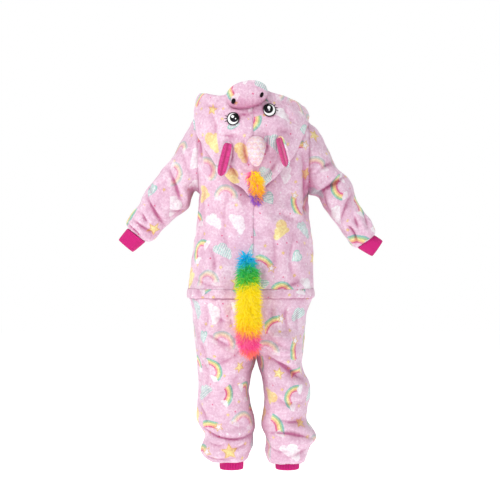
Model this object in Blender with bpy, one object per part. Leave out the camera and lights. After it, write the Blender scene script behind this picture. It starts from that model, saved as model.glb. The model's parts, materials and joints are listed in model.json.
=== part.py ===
"""Child's animal onesie, size 120: plush one-piece with a unicorn hood, a fur tail and rib cuffs.

Metres, +Z up. The origin is the middle of the neck opening on the shoulder line, +Y is the way the
wearer faces and +X is the wearer's right. The garment keeps the hollow form that it has when worn.
Sizes in the tables are millimetres, and a drop is measured down from the origin.
"""
import math
from types import SimpleNamespace

import bmesh
import bpy
import numpy as np
from mathutils import Matrix, Vector
from mathutils.bvhtree import BVHTree

MM = 0.001

# Cloth
WALL = 2.4
SEAM_GAP = 0.36
MITRE_LIMIT = 1.45
SQUARENESS = 0.9
CLEAR_OF_CLOTH = 4.0

# Faces across a quarter of the body, those of them on the neckline, and down half an armhole
ACROSS = 10
ON_NECK = 4
DOWN_ARMHOLE = 10

# Neck opening and shoulder
NECK_HALF_WIDTH = 58
NECK_SIDE_DROP = 4
SHOULDER_TIP = 140
SHOULDER_DROP = 29

# Armhole: an upright oval
ARMHOLE_MIDDLE = 142
ARMHOLE_HALF_HEIGHT = 113
ARMHOLE_HALF_DEPTH = 76

# Front zip
ZIP_OPENING = 4.0
ZIP_BOTTOM = 604
CHAIN_HALF_WIDTH = 3.66
CHAIN_THICKNESS = 2.0
SLIDER_BELOW_NECK = 14
SLIDER = SimpleNamespace(half_width=4.5, half_length=6.5, base=0.45, top=3.85, corner=1.4)
ARCH = SimpleNamespace(half_width=0.8, reach=5.0, post=1.3, clear=6.95, top=8.1)
PULL = SimpleNamespace(half_width=3.5, hole=2.0, bar=0.8, hole_end=7.8, end=21.5, corner=1.2)
PULL_AXIS_OUT = (SLIDER.top + ARCH.clear) / 2


class Sizes:
    """A short table of sections, read between its rows by a curve that never overshoots them."""

    def __init__(self, columns, *rows):
        self.columns = columns.split()
        self.rows = np.array(rows, float)
        self.slopes = np.diff(self.rows, axis=0) / np.diff(self.rows[:, 0])[:, None]

    def slope(self, row):
        if row == 0 or row == len(self.slopes):
            return self.slopes[min(row, len(self.slopes) - 1)]
        before, after = self.slopes[row - 1], self.slopes[row]
        agree = before * after > 0
        return np.where(agree, 2 * before * after / np.where(agree, before + after, 1), 0)

    def __call__(self, key):
        keys = self.rows[:, 0]
        key = min(max(key, keys[0]), keys[-1])
        low = min(int(np.searchsorted(keys, key, side="right")) - 1, len(keys) - 2)
        step = keys[low + 1] - keys[low]
        t = (key - keys[low]) / step
        values = (
            self.rows[low] * (1 - t) ** 2 * (1 + 2 * t)
            + self.rows[low + 1] * t ** 2 * (3 - 2 * t)
            + self.slope(low) * step * t * (1 - t) ** 2
            - self.slope(low + 1) * step * t ** 2 * (1 - t)
        )
        return SimpleNamespace(**dict(zip(self.columns, map(float, values))))


# Sections of the body, from the shoulder line to the seat seam
BODY = Sizes(
    "side_drop back_drop front_drop half_width back_depth front_depth centre",
    (29, 8, 40, 140, 54, 50, 0),
    (50, 34, 62, 141, 84, 76, 2),
    (100, 86, 108, 142, 108, 98, 4),
    (165, 158, 168, 142, 114, 108, 4),
    (255, 255, 255, 142, 113, 112, 4.5),
    (325, 325, 325, 147, 112, 114, 4),
    (390, 390, 390, 156, 114, 120, 4),
    (450, 450, 450, 160, 122, 124, 0),
    (508, 508, 508, 163, 125, 124, -3),
)
BODY_DROPS = (285, 318, 352, 386, 420, 452, 480, 497, 508)

# Sections of the trousers: the outline of each leg, and how deep it is to the back and front
TROUSERS = Sizes(
    "drop left_out left_in right_in right_out depth",
    (508, -166, -3, -3, 160, 124.5),
    (528, -161, -2.5, -2.5, 156, 124.5),
    (543, -156, -2, -2, 149, 124),
    (575, -153, 0, 0, 140, 123.5),
    (606, -151, 3, 3, 138, 121),
    (653, -146, 9, 9, 135, 113),
    (689, -143, 12, 12, 127, 102),
    (703, -143, 2, 19, 128, 96),
    (731, -140, -3, 26, 146, 86),
    (762, -140, -10, 30, 156, 80),
    (793, -143, -3, 32, 148, 75),
    (824, -146, 4, 29, 140, 70),
    (840, -146, 9, 23, 140, 68),
    (855, -139, 10, 22, 151, 70),
    (871, -120, 3, 31, 166, 74),
    (887, -124, 5, 36, 172, 76),
    (902, -130, 4, 36, 153, 73),
    (918, -134, -4, 34, 146, 69),
    (933, -126, -8, 37, 141, 61),
)
SEAT_DROPS = (520, 541, 562, 583, 604, 615, 640, 665, 689)
LEG_DROPS = (706, 731, 762, 792, 817, 838, 855, 871, 887, 904, 920, 933)
CROTCH_DROP = 689
CROTCH_CURVE_DROP = 600
CLEFT = 5

# Trouser hems: where the cloth turns under at its lowest, then the seam to the rib cuff
HEMS = {
    -1: SimpleNamespace(outer=-107, inner=-12, outer_drop=950, inner_drop=944, depth=47,
                        cuff=-53, cuff_radius=31.5, cuff_outer_drop=941, cuff_inner_drop=935),
    1: SimpleNamespace(outer=134, inner=45, outer_drop=949, inner_drop=949, depth=47,
                       cuff=92, cuff_radius=31.5, cuff_outer_drop=940, cuff_inner_drop=940),
}
ANKLE_CUFF_BOTTOM = 967
GATHERS_FROM = 880
GATHERS_FULL = 925
GATHER = 0.045

# Sleeves, shoulder to wrist: top and underarm line of each ring, and how deep the ring is
SLEEVES = {
    1: Sizes(
        "ring outer outer_drop inner inner_drop depth forward",
        (1, 177, 94, 166, 257, 68, 0),
        (2, 203, 146, 177, 263, 62, 1),
        (3, 216, 172, 179, 273, 59, 2),
        (4, 224, 190, 187, 289, 56, 3),
        (5, 250, 203, 195, 299, 53, 4),
        (6, 268, 242, 205, 315, 49, 6),
        (7, 270, 268, 218, 330, 46, 8),
        (8, 296, 302, 231, 346, 43, 10),
        (9, 312, 325, 247, 369, 39, 12),
        (10, 325, 348, 265, 393, 34, 14),
        (11, 320, 359, 276, 393, 27, 15),
    ),
    -1: Sizes(
        "ring outer outer_drop inner inner_drop depth forward",
        (1, -169, 91, -146, 244, 68, 0),
        (2, -192, 130, -156, 250, 62, 1),
        (3, -218, 172, -161, 281, 59, 2),
        (4, -239, 195, -166, 291, 56, 3),
        (5, -257, 218, -187, 309, 53, 4),
        (6, -276, 242, -208, 320, 49, 6),
        (7, -289, 265, -218, 333, 46, 8),
        (8, -296, 281, -231, 343, 43, 9),
        (9, -315, 302, -242, 356, 40, 11),
        (10, -331, 328, -260, 378, 34, 14),
        (11, -325, 341, -278, 377, 27, 15),
    ),
}
SLEEVE_RINGS = (1, 2, 3, 4, 5, 6, 7, 8, 9, 10, 11)
SLEEVE_GATHERS_FROM = 8
WRIST_CUFF_END = {
    1: SimpleNamespace(outer=343, outer_drop=374, inner=315, inner_drop=416, depth=25, forward=17),
    -1: SimpleNamespace(outer=-350, outer_drop=372, inner=-312, inner_drop=405, depth=25, forward=17),
}

# Rib cuffs
RIB = 1.3
CUFF_WALL = 3.0
ANKLE_TUCK = 0.5

# Largest folds: from one place to another by way of a third, as x and drop; a trough of this width
# and depth with a bank beside it
FOLD_COLUMNS = "face x1 drop1 x2 drop2 x3 drop3 width depth bank"
FOLDS = [SimpleNamespace(**dict(zip(FOLD_COLUMNS.split(), row))) for row in (
    (-1, 133, 138, 137, 250, 134, 359, 15, 7, 3),
    (-1, -100, 146, -112, 220, -126, 300, 15, -7, -3),
    (-1, 10, 270, 4, 320, -5, 380, 18, 4, 0),
    (-1, -138, 543, -104, 564, -39, 585, 15, 6, 4),
    (-1, -117, 595, -84, 616, -47, 640, 15, 5, 3),
    (-1, -138, 600, -122, 645, -104, 694, 15, 5, 3),
    (-1, 31, 666, 99, 705, 133, 728, 16, 7, 5),
    (-1, 120, 560, 84, 590, 30, 604, 16, 4, 3),
    (-1, -138, 846, -90, 852, -30, 846, 14, 5, 4),
    (-1, -128, 905, -80, 896, -20, 904, 12, 4, 3),
    (-1, 30, 846, 80, 854, 140, 842, 14, 5, 4),
    (-1, 44, 905, 96, 900, 146, 910, 12, 4, 3),
    (-1, 40, 770, 90, 776, 140, 760, 16, 4, 3),
    (-1, 216, 172, 188, 190, 156, 216, 14, 5, 3),
    (-1, 248, 205, 212, 224, 172, 250, 14, 8, 5),
    (-1, 262, 255, 246, 290, 226, 328, 12, 5, 3),
    (-1, -218, 182, -196, 232, -169, 286, 14, 8, 5),
    (-1, -276, 255, -250, 290, -218, 328, 12, 5, 3),
    (-1, -298, 291, -275, 316, -250, 341, 12, 4, 3),
    (1, -126, 290, -130, 350, -118, 420, 16, 6, 3),
    (1, 128, 280, 133, 350, 126, 430, 16, 6, 3),
    (1, -20, 610, -70, 590, -130, 560, 16, 6, 4),
    (1, 20, 616, 76, 600, 128, 574, 16, 6, 4),
    (1, -56, 704, -94, 712, -134, 704, 15, 6, 4),
    (1, 58, 700, 94, 716, 136, 716, 15, 6, 4),
    (1, -132, 786, -84, 776, -30, 782, 15, 5, 3),
    (1, 40, 790, 92, 780, 144, 786, 15, 5, 3),
    (1, -134, 850, -84, 858, -24, 850, 14, 5, 4),
    (1, 34, 852, 90, 860, 146, 852, 14, 5, 4),
    (1, 206, 180, 190, 214, 170, 244, 14, 7, 4),
    (1, 262, 232, 236, 262, 212, 300, 13, 7, 4),
    (1, 300, 318, 278, 336, 258, 350, 12, 4, 3),
    (1, -206, 176, -188, 214, -168, 250, 14, 7, 4),
    (1, -266, 238, -240, 268, -212, 306, 13, 7, 4),
    (1, -306, 306, -284, 326, -258, 350, 12, 4, 3),
)]

# Hood, thrown back: the pouch's lower fold and its rim, from the middle of the back (0) past the
# shoulder (4) to the zip (8); how high the neck stands before it rolls out, and how far it bellies
HOOD_COLUMNS = "place fold_x fold_y fold_z rim_x rim_y rim_z stand belly"
HOOD = {
    1: Sizes(
        HOOD_COLUMNS,
        (0, 8, -132, -277, 0, -140, 12, 12, 32),
        (1, 34, -131, -238, 37, -138, 8, 12, 32),
        (2, 68, -126, -206, 72, -124, -2, 12, 28),
        (3, 102, -112, -165, 104, -100, -8, 11, 20),
        (4, 134, -84, -92, 130, -64, -10, 10, 12),
        (5, 141, -20, -34, 138, -14, -6, 10, 6),
        (6, 112, 44, -38, 118, 48, -12, 9, 4),
        (7, 62, 70, -50, 70, 80, -26, 8, 3),
        (8, 12, 72, -58, 16, 86, -38, 6, 2),
    ),
    -1: Sizes(
        HOOD_COLUMNS,
        (0, 8, -132, -277, 0, -140, 12, 12, 32),
        (1, -24, -131, -246, -36, -138, 8, 12, 32),
        (2, -60, -126, -222, -74, -124, -4, 12, 28),
        (3, -99, -112, -172, -110, -100, -10, 11, 20),
        (4, -140, -84, -100, -142, -62, -12, 10, 12),
        (5, -146, -20, -33, -143, -14, -5, 10, 6),
        (6, -113, 44, -36, -119, 48, -11, 9, 4),
        (7, -62, 70, -50, -70, 80, -26, 8, 3),
        (8, -12, 72, -58, -16, 86, -38, 6, 2),
    ),
}
HOOD_STATIONS = 8
HOOD_FOLD_RADIUS = 9
HOOD_ROWS = 18
HOOD_LAID_FROM = 4
SETTLE_ROUNDS = 6

# Things sewn on the hood, as x and z seen from behind
MUZZLE = SimpleNamespace(x=-13, z=-20, half_width=53, half_height=29, tilt=9, bulge=24, edge=5)
NOSTRILS = {-1: SimpleNamespace(x=-46, z=-32, half_width=5.5, half_height=7.5, tilt=-15),
            1: SimpleNamespace(x=24, z=-16, half_width=4.5, half_height=8, tilt=-20)}
EYES = {-1: SimpleNamespace(x=-47, z=-74, half_width=16, half_height=17, tilt=0),
        1: SimpleNamespace(x=43, z=-52, half_width=16.5, half_height=17.5, tilt=20)}
HORN_BASE = SimpleNamespace(x=10, z=-139, radius=25)
HORN_RINGS = Sizes(
    "along out down turn radius",
    (0, 0.5, 0, 0, 25),
    (1, 15, -4, 30, 25),
    (2, 26, -14, 60, 23),
    (3, 31, -28, 80, 20),
    (4, 30, -42, 90, 15.5),
    (5, 27, -53, 92, 9),
)
EARS = {
    -1: SimpleNamespace(base_x=-57, base_z=-128, tip_x=-80, tip_z=-222, half_width=18, twist=8),
    1: SimpleNamespace(base_x=66, base_z=-116, tip_x=88, tip_z=-198, half_width=19, twist=50),
}
EAR_THICKNESS = 5.0
EAR_LINING = 2.4
EAR_STATIONS = 10
EAR_FARTHEST = 40.0
SEATING_STEP = 0.3

# Mane tuft and tail, both long fur: middle and half sizes of each section
MANE = Sizes(
    "z x half_width out",
    (-284, 14, 4, 8),
    (-271, 12, 10, 14),
    (-248, 11, 17, 20),
    (-224, 9, 22, 22),
    (-205, 7, 22, 18),
    (-191, 6, 14, 10),
)
TAIL = Sizes(
    "z x half_width out",
    (-668, -6, 8, 22),
    (-652, -7, 20, 40),
    (-620, -8, 29, 56),
    (-570, -7, 32, 62),
    (-510, -8, 31, 62),
    (-450, -10, 29, 56),
    (-420, -13, 22, 42),
    (-400, -15, 11, 22),
    (-392, -15, 5, 9),
)
LOCK_DEPTH = 0.07
HANG = 0.1

# Drop seat band on the back, over the seat seam
BAND_OUT = SimpleNamespace(lift=0.45, top=2.6, middle=4.4, bottom=6.4)

COLOURS = {
    "print_fleece": ((0.84, 0.62, 0.76), 0.92),
    "hot_pink_rib": ((0.73, 0.08, 0.32), 0.85),
    "hot_pink_plush": ((0.70, 0.06, 0.33), 0.9),
    "black_embroidery": ((0.012, 0.012, 0.014), 0.6),
    "eye_embroidery": ((0.8, 0.8, 0.8), 0.6),
    "orange_fur": ((0.91, 0.45, 0.06), 0.9),
    "yellow_fur": ((0.91, 0.70, 0.03), 0.9),
    "zip_tape": ((0.78, 0.30, 0.52), 0.6),
    "zip_metal": ((0.62, 0.62, 0.64), 0.3),
}


def power(value):
    """A cosine or sine turned into the rounded, slightly square section of worn cloth."""
    return math.copysign(abs(value) ** SQUARENESS, value)


def blend(low, high, value):
    """0 below low, 1 above high, and a smooth step between."""
    t = min(max((value - low) / (high - low), 0), 1)
    return t * t * (3 - 2 * t)


def half_row(start, end, depth, first_turn, last_turn, count=ACROSS):
    """x and y along a section, from its centre edge at first_turn to its side at last_turn."""
    first, last = power(math.cos(first_turn)), power(math.cos(last_turn))
    reach = (end - start) / (first - last)
    points = []
    for step in range(count + 1):
        turn = first_turn + (last_turn - first_turn) * step / count
        x = start + reach * (first - power(math.cos(turn)))
        points.append((x, depth * power(max(math.sin(turn), 0))))
    return points


def middle_size(size, face):
    """How far down the centre of a section lies, and how deep the section is, on the back or front."""
    return (size.back_drop, size.back_depth) if face < 0 else (size.front_drop, size.front_depth)


def neck_point(side, face, part):
    """A point of the neckline, from its middle (part 0) to the shoulder seam (part 1)."""
    drop, depth = middle_size(BODY(SHOULDER_DROP), face)
    turn = part * math.pi / 2
    opening = ZIP_OPENING if face > 0 else 0
    x = opening + (NECK_HALF_WIDTH - opening) * math.sin(turn)
    down = NECK_SIDE_DROP + (drop - NECK_SIDE_DROP) * math.cos(turn) ** 2
    return Vector((side * x, face * depth * math.cos(turn), -down))


def shoulder_row(side, face):
    """The neckline and then the shoulder seam."""
    row = [neck_point(side, face, step / ON_NECK) for step in range(ON_NECK + 1)]
    tip = Vector((side * SHOULDER_TIP + BODY(SHOULDER_DROP).centre, 0, -SHOULDER_DROP))
    seam = ACROSS - ON_NECK
    return row + [row[-1].lerp(tip, step / seam) for step in range(1, seam + 1)]


def zip_edge(face, drop):
    """How far the centre edge stands off the middle: the front is open along the zip."""
    return ZIP_OPENING * (1 - blend(ZIP_BOTTOM, ZIP_BOTTOM + 10, drop)) if face > 0 else 0


def body_row(side, face, side_drop, edge_depth):
    """A section of the body from its centre to the armhole's edge, or to the side seam."""
    size = BODY(side_drop)
    middle_drop, depth = middle_size(size, face)
    last_turn = math.pi - math.asin(min(1, (edge_depth / depth) ** (1 / SQUARENESS)))
    start = size.centre + side * zip_edge(face, middle_drop)
    end = size.centre + side * size.half_width
    row = []
    for x, y in half_row(start, end, face * depth, math.pi / 2, last_turn):
        part = ((x - start) / (end - start)) ** 2
        row.append(Vector((x, y, -(middle_drop + (side_drop - middle_drop) * part))))
    return row


def body_rows(side, face):
    """The shoulder row, the rows that end on the armhole, and the rows down to the seat seam."""
    rows = [shoulder_row(side, face)]
    for step in range(1, DOWN_ARMHOLE + 1):
        turn = math.pi * step / DOWN_ARMHOLE
        drop = ARMHOLE_MIDDLE - ARMHOLE_HALF_HEIGHT * math.cos(turn)
        rows.append(body_row(side, face, drop, ARMHOLE_HALF_DEPTH * math.sin(turn)))
    return rows + [body_row(side, face, drop, 0) for drop in BODY_DROPS]


def trouser_row(side, face, drop):
    """A section of one leg, or of half the seat, from its centre edge to its side seam."""
    size = TROUSERS(drop)
    if drop <= CROTCH_DROP:
        size.left_in = size.right_in = (size.left_in + size.right_in) / 2
    start, end = (size.right_in, size.right_out) if side > 0 else (size.left_in, size.left_out)
    first_turn = math.pi / 2 * (1 - blend(CROTCH_CURVE_DROP, CROTCH_DROP, drop) ** 0.5)
    start += side * zip_edge(face, drop)
    row = half_row(start, end, face * size.depth, first_turn, math.pi)
    gather = GATHER * blend(GATHERS_FROM, GATHERS_FULL, drop)
    middle = (size.left_in + size.left_out if side < 0 else size.right_in + size.right_out) / 2
    cleft = side * CLEFT * blend(CROTCH_CURVE_DROP, CROTCH_DROP, drop) * (drop <= CROTCH_DROP)
    points = []
    for column, (x, y) in enumerate(row):
        swell = 1 + gather * (1 if column % 2 == 0 else -1)
        aside = cleft * (1 - column / ACROSS) if column else 0
        points.append(Vector((middle + (x - middle) * swell + aside, y * swell, -drop)))
    return points


def hem_rows(side, face):
    """The turned-under hem of a trouser leg and its seam to the cuff."""
    hem = HEMS[side]
    turned = []
    seam = []
    for column, (x, y) in enumerate(half_row(hem.inner, hem.outer, face * hem.depth, 0, math.pi)):
        part = (x - hem.inner) / (hem.outer - hem.inner)
        swell = 1 + GATHER * (1 if column % 2 == 0 else -1)
        middle = (hem.inner + hem.outer) / 2
        drop = hem.inner_drop + (hem.outer_drop - hem.inner_drop) * part
        turned.append(Vector((middle + (x - middle) * swell, y * swell, -drop)))
    for column in range(ACROSS + 1):
        turn = math.pi * column / ACROSS
        part = (1 - math.cos(turn)) / 2
        drop = hem.cuff_inner_drop + (hem.cuff_outer_drop - hem.cuff_inner_drop) * part
        x = hem.cuff - side * hem.cuff_radius * math.cos(turn)
        seam.append(Vector((x, face * hem.cuff_radius * math.sin(turn), -drop)))
    return [turned, seam]


def trouser_rows(side, face):
    rows = [trouser_row(side, face, drop) for drop in SEAT_DROPS + LEG_DROPS]
    return rows + hem_rows(side, face)


def ring_points(ring, count, gather=0.0):
    """A sleeve's ring: from its top line round the back to the underarm line, and up the front."""
    top = Vector((ring.outer, ring.forward, -ring.outer_drop))
    under = Vector((ring.inner, ring.forward, -ring.inner_drop))
    middle, half = (top + under) / 2, (top - under) / 2
    points = []
    for step in range(count):
        turn = 2 * math.pi * step / count
        swell = 1 + gather * (1 if step % 2 == 0 else -1)
        points.append(middle + half * power(math.cos(turn)) * swell
                      - Vector((0, ring.depth * power(math.sin(turn)) * swell, 0)))
    return points


def sleeve_rows(side, armhole):
    """The armhole, a ring half way to the first, and the rings down to the wrist."""
    first = ring_points(SLEEVES[side](SLEEVE_RINGS[0]), 2 * DOWN_ARMHOLE)
    rows = [armhole, [a.lerp(b, 0.5) for a, b in zip(armhole, first)]]
    for ring in SLEEVE_RINGS:
        last = ring == SLEEVE_RINGS[-1]
        gather = 0 if last else GATHER * blend(SLEEVE_GATHERS_FROM, SLEEVE_RINGS[-2], ring)
        rows.append(ring_points(SLEEVES[side](ring), 2 * DOWN_ARMHOLE, gather))
    return rows


def fold_offset(point, facing):
    """How far the folds move a point of the cloth out (or in), by where it lies seen from the back."""
    offset = 0.0
    for fold in FOLDS:
        if fold.face * point.y <= 0:
            continue
        places = [Vector((fold.x1, -fold.drop1)), Vector((fold.x2, -fold.drop2)),
                  Vector((fold.x3, -fold.drop3))]
        here = Vector((point.x, point.z))
        nearest, across, along = None, 0.0, 0.0
        for index in range(2):
            run = places[index + 1] - places[index]
            part = min(max((here - places[index]).dot(run) / run.length_squared, 0), 1)
            away = here - places[index] - run * part
            if nearest is None or away.length < nearest:
                nearest = away.length
                across = math.copysign(away.length, run.x * away.y - run.y * away.x)
                along = (index + part) / 2
        reach = across / fold.width
        taper = math.sin(math.pi * (0.12 + 0.76 * along))
        trough = -fold.depth * math.exp(-reach ** 2)
        bank = fold.bank * math.exp(-((reach - 1.7) / 1.1) ** 2)
        offset += (trough + bank) * taper
    return offset * min(1, abs(facing.y) * 1.6)


def place_key(point):
    return (round(point.x, 2), round(point.y, 2), round(point.z, 2))


class Panel:
    """A cut piece as a grid of points on its outside, in rows, open or closed round."""

    def __init__(self, name, rows, outward, closed=False, wall=WALL, halved=False, waist=0):
        self.name, self.rows, self.outward, self.closed = name, rows, outward, closed
        self.wall, self.halved, self.waist = wall, halved, waist
        self.keys = [[place_key(point) for point in row] for row in rows]

    def beside(self, row, column, step_row, step_column):
        """The neighbour of a point, or the point itself past an open edge."""
        width = len(self.rows[0])
        row = min(max(row + step_row, 0), len(self.rows) - 1)
        column += step_column
        column = column % width if self.closed else min(max(column, 0), width - 1)
        return self.rows[row][column]

    def normal(self, row, column):
        across = self.beside(row, column, 0, 1) - self.beside(row, column, 0, -1)
        down = self.beside(row, column, 1, 0) - self.beside(row, column, -1, 0)
        return (across.cross(down) * self.outward).normalized()

    def normals(self):
        return [[self.normal(r, c) for c in range(len(row))] for r, row in enumerate(self.rows)]

    def solids(self):
        """The piece itself, or, for a front, its two solids above and below the waist."""
        if not self.waist:
            return [self]
        halves = []
        for name, rows in ((self.name, slice(self.waist + 1)), (f"trouser_{self.name}", slice(self.waist, None))):
            half = Panel(name, self.rows[rows], self.outward)
            half.keys = self.keys[rows]
            halves.append(half)
        return halves

    def inset(self, row, column):
        """Half a seam gap, from an edge into the piece."""
        here = self.rows[row][column]
        move = Vector()
        for step_row, step_column in ((1, 0), (-1, 0), (0, 1), (0, -1)):
            if self.closed and step_column:
                continue
            behind = self.beside(row, column, -step_row, -step_column)
            if behind is not here:
                continue
            inward = self.beside(row, column, step_row, step_column) - here
            along = (self.beside(row, column, step_column, step_row)
                     - self.beside(row, column, -step_column, -step_row)).normalized()
            inward -= along * inward.dot(along)
            move += inward.normalized() * SEAM_GAP / 2
        return move


def weld_normals(panels):
    """One way out at each point for all pieces that meet there, as long as their mitre."""
    meeting = {}
    for panel in panels:
        for keys, normals in zip(panel.keys, panel.normals()):
            for key, normal in zip(keys, normals):
                meeting.setdefault(key, []).append(normal)
    out = {}
    for key, normals in meeting.items():
        middle = sum(normals, Vector()).normalized()
        square = sum(normal.dot(middle) for normal in normals) / len(normals)
        out[key] = middle * min(MITRE_LIMIT, 1 / max(square, 0.1))
    return out


def press_folds(panels):
    """Moves the points of all pieces by the folds, the same on both sides of a seam."""
    out = weld_normals(panels)
    for panel in panels:
        for keys, row in zip(panel.keys, panel.rows):
            for c, (key, point) in enumerate(zip(keys, row)):
                facing = out[key].normalized()
                row[c] = point + facing * fold_offset(point, facing)


def halve(row, closed):
    """Sets every other point of a row half way between its neighbours."""
    for c in range(1, len(row), 2):
        row[c] = (row[c - 1] + row[(c + 1) % len(row)]) / 2
    return row


def wall_grids(panel, out):
    """The outside and inside points of a piece, drawn in from its seams."""
    outside, inside = [], []
    for r, keys in enumerate(panel.keys):
        edges = [point + panel.inset(r, c) for c, point in enumerate(panel.rows[r])]
        outside.append(edges)
        inside.append([edge - out[key] * panel.wall for edge, key in zip(edges, keys)])
    if panel.halved:
        halve(outside[0], panel.closed)
        halve(inside[0], panel.closed)
    return outside, inside


def add_object(name, material, bm):
    """A closed, smooth-shaded object from a mesh in millimetres."""
    bmesh.ops.scale(bm, vec=(MM, MM, MM), verts=bm.verts)
    bmesh.ops.recalc_face_normals(bm, faces=bm.faces)
    mesh = bpy.data.meshes.new(name)
    bm.to_mesh(mesh)
    bm.free()
    mesh.shade_smooth()
    mesh.set_sharp_from_angle(angle=math.radians(50))
    mesh.materials.append(material)
    thing = bpy.data.objects.new(name, mesh)
    bpy.context.collection.objects.link(thing)
    return thing


def add_wall(panel, outside, inside, material):
    """Closes a piece: its outside, its inside and the cut edges between them."""
    bm = bmesh.new()
    high, wide = len(outside), len(outside[0])
    outer = [[bm.verts.new(point) for point in row] for row in outside]
    inner = [[bm.verts.new(point) for point in row] for row in inside]
    columns = range(wide if panel.closed else wide - 1)
    for grid, turn in ((outer, False), (inner, True)):
        for r in range(high - 1):
            for c in columns:
                a, b = grid[r][c], grid[r][(c + 1) % wide]
                d, e = grid[r + 1][c], grid[r + 1][(c + 1) % wide]
                bm.faces.new((a, e, b) if turn else (a, b, e))
                bm.faces.new((a, d, e) if turn else (a, e, d))

    def rim(first, second):
        (r1, c1), (r2, c2) = first, second
        a, b, under_a, under_b = outer[r1][c1], outer[r2][c2], inner[r1][c1], inner[r2][c2]
        if panel.keys[r1][c1] < panel.keys[r2][c2]:
            bm.faces.new((a, b, under_b))
            bm.faces.new((a, under_b, under_a))
        else:
            bm.faces.new((a, b, under_a))
            bm.faces.new((b, under_b, under_a))

    for c in columns:
        rim((0, c), (0, (c + 1) % wide))
        rim((high - 1, c), (high - 1, (c + 1) % wide))
    if not panel.closed:
        for r in range(high - 1):
            rim((r, 0), (r + 1, 0))
            rim((r, wide - 1), (r + 1, wide - 1))
    return add_object(panel.name, material, bm)


def surface_tree(grids):
    """A search tree of outside faces, to seat things on the cloth."""
    points, faces = [], []
    for grid, outward, closed in grids:
        start, wide = len(points), len(grid[0])
        points += [point for row in grid for point in row]
        for r in range(len(grid) - 1):
            for c in range(wide if closed else wide - 1):
                a, b = start + r * wide + c, start + r * wide + (c + 1) % wide
                d, e = a + wide, b + wide
                for face in ((a, b, e), (a, e, d)):
                    faces.append(face if outward > 0 else face[::-1])
    return BVHTree.FromPolygons([tuple(point) for point in points], faces)


def lift_clear(tree, point, clearance):
    """Moves a point out until it stands this far off the cloth under it."""
    place, normal, _, _ = tree.find_nearest(point)
    height = (point - place).dot(normal)
    distance = (point - place).length
    signed = distance if height >= 0 else -distance
    return point + normal * (clearance - signed) if signed < clearance else point


def plain_material(name):
    colour, roughness = COLOURS[name]
    material = bpy.data.materials.new(name)
    material.use_nodes = True
    shader = material.node_tree.nodes["Principled BSDF"]
    shader.inputs["Base Color"].default_value = (*colour, 1)
    shader.inputs["Roughness"].default_value = roughness
    shader.inputs["Metallic"].default_value = 1.0 if name == "zip_metal" else 0.0
    material.diffuse_color = (*colour, 1)
    return material


def body_panels():
    """The cut pieces of the body: two fronts from neck to ankle, two backs, two trouser backs."""
    panels = []
    for side, side_name in ((1, "right"), (-1, "left")):
        back, front = body_rows(side, -1), body_rows(side, 1)
        panels.append(Panel(f"back_{side_name}", back, -side))
        panels.append(Panel(f"front_{side_name}", front + trouser_rows(side, 1), side, waist=len(front) - 1))
        panels.append(Panel(f"trouser_back_{side_name}", [back[-1]] + trouser_rows(side, -1), -side))
        edge = [row[-1] for row in back[:DOWN_ARMHOLE + 1]]
        edge += [row[-1] for row in front[DOWN_ARMHOLE - 1:0:-1]]
        panels.append(Panel(f"sleeve_{side_name}", sleeve_rows(side, edge), side, closed=True))
    return panels


def doubled(row, closed):
    """A row with a point added half way along each of its faces."""
    wide = []
    for c, point in enumerate(row):
        wide.append(point)
        if closed or c + 1 < len(row):
            wide.append((point + row[(c + 1) % len(row)]) / 2)
    return wide


def cuff(name, ring, end, outward, tuck=0.0):
    """A rib cuff from the seam ring to its end ring, with its ribs raised on the outside."""
    first, last = doubled(ring, True), doubled(end, True)
    seam = sum(first, Vector()) / len(first)
    middle = sum(last, Vector()) / len(last)
    ribbed = []
    for part in (0.2, 1.0):
        row = []
        for c, (a, b) in enumerate(zip(first, last)):
            rib = RIB / 2 if c % 2 == 0 else -RIB / 2
            row.append(a.lerp(b, part) + (b - middle).normalized() * rib)
        ribbed.append(row)
    tucked = [point + (seam - point).normalized() * tuck for point in first]
    piece = Panel(name, [tucked] + ribbed, outward, closed=True, wall=CUFF_WALL, halved=True)
    piece.keys[0][::2] = [place_key(point) for point in ring]
    return piece


def cuff_panels(panels):
    """Wrist and ankle cuffs, each sewn to the last ring of its sleeve or trouser leg."""
    pieces = {panel.name: panel for panel in panels}
    cuffs = []
    for side, side_name in ((1, "right"), (-1, "left")):
        wrist = pieces[f"sleeve_{side_name}"].rows[-1]
        end = ring_points(WRIST_CUFF_END[side], len(wrist))
        cuffs.append(cuff(f"wrist_cuff_{side_name}", wrist, end, side))
        back = pieces[f"trouser_back_{side_name}"].rows[-1]
        front = pieces[f"front_{side_name}"].rows[-1]
        ankle = back + front[-2:0:-1]
        end = [Vector((point.x, point.y, -ANKLE_CUFF_BOTTOM)) for point in ankle]
        cuffs.append(cuff(f"ankle_cuff_{side_name}", ankle, end, -side, tuck=ANKLE_TUCK))
    return cuffs


def curve_through(knots, count):
    """Points read evenly from a smooth curve through the knots."""
    ends = [2 * knots[0] - knots[1]] + knots + [2 * knots[-1] - knots[-2]]
    points = []
    for step in range(count + 1):
        at = (len(knots) - 1) * step / count
        low = min(int(at), len(knots) - 2)
        t = at - low
        a, b, c, d = ends[low:low + 4]
        points.append((2 * b + (c - a) * t + (2 * a - 5 * b + 4 * c - d) * t * t
                       + (3 * b - a - 3 * c + d) * t ** 3) / 2)
    return points


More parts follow.
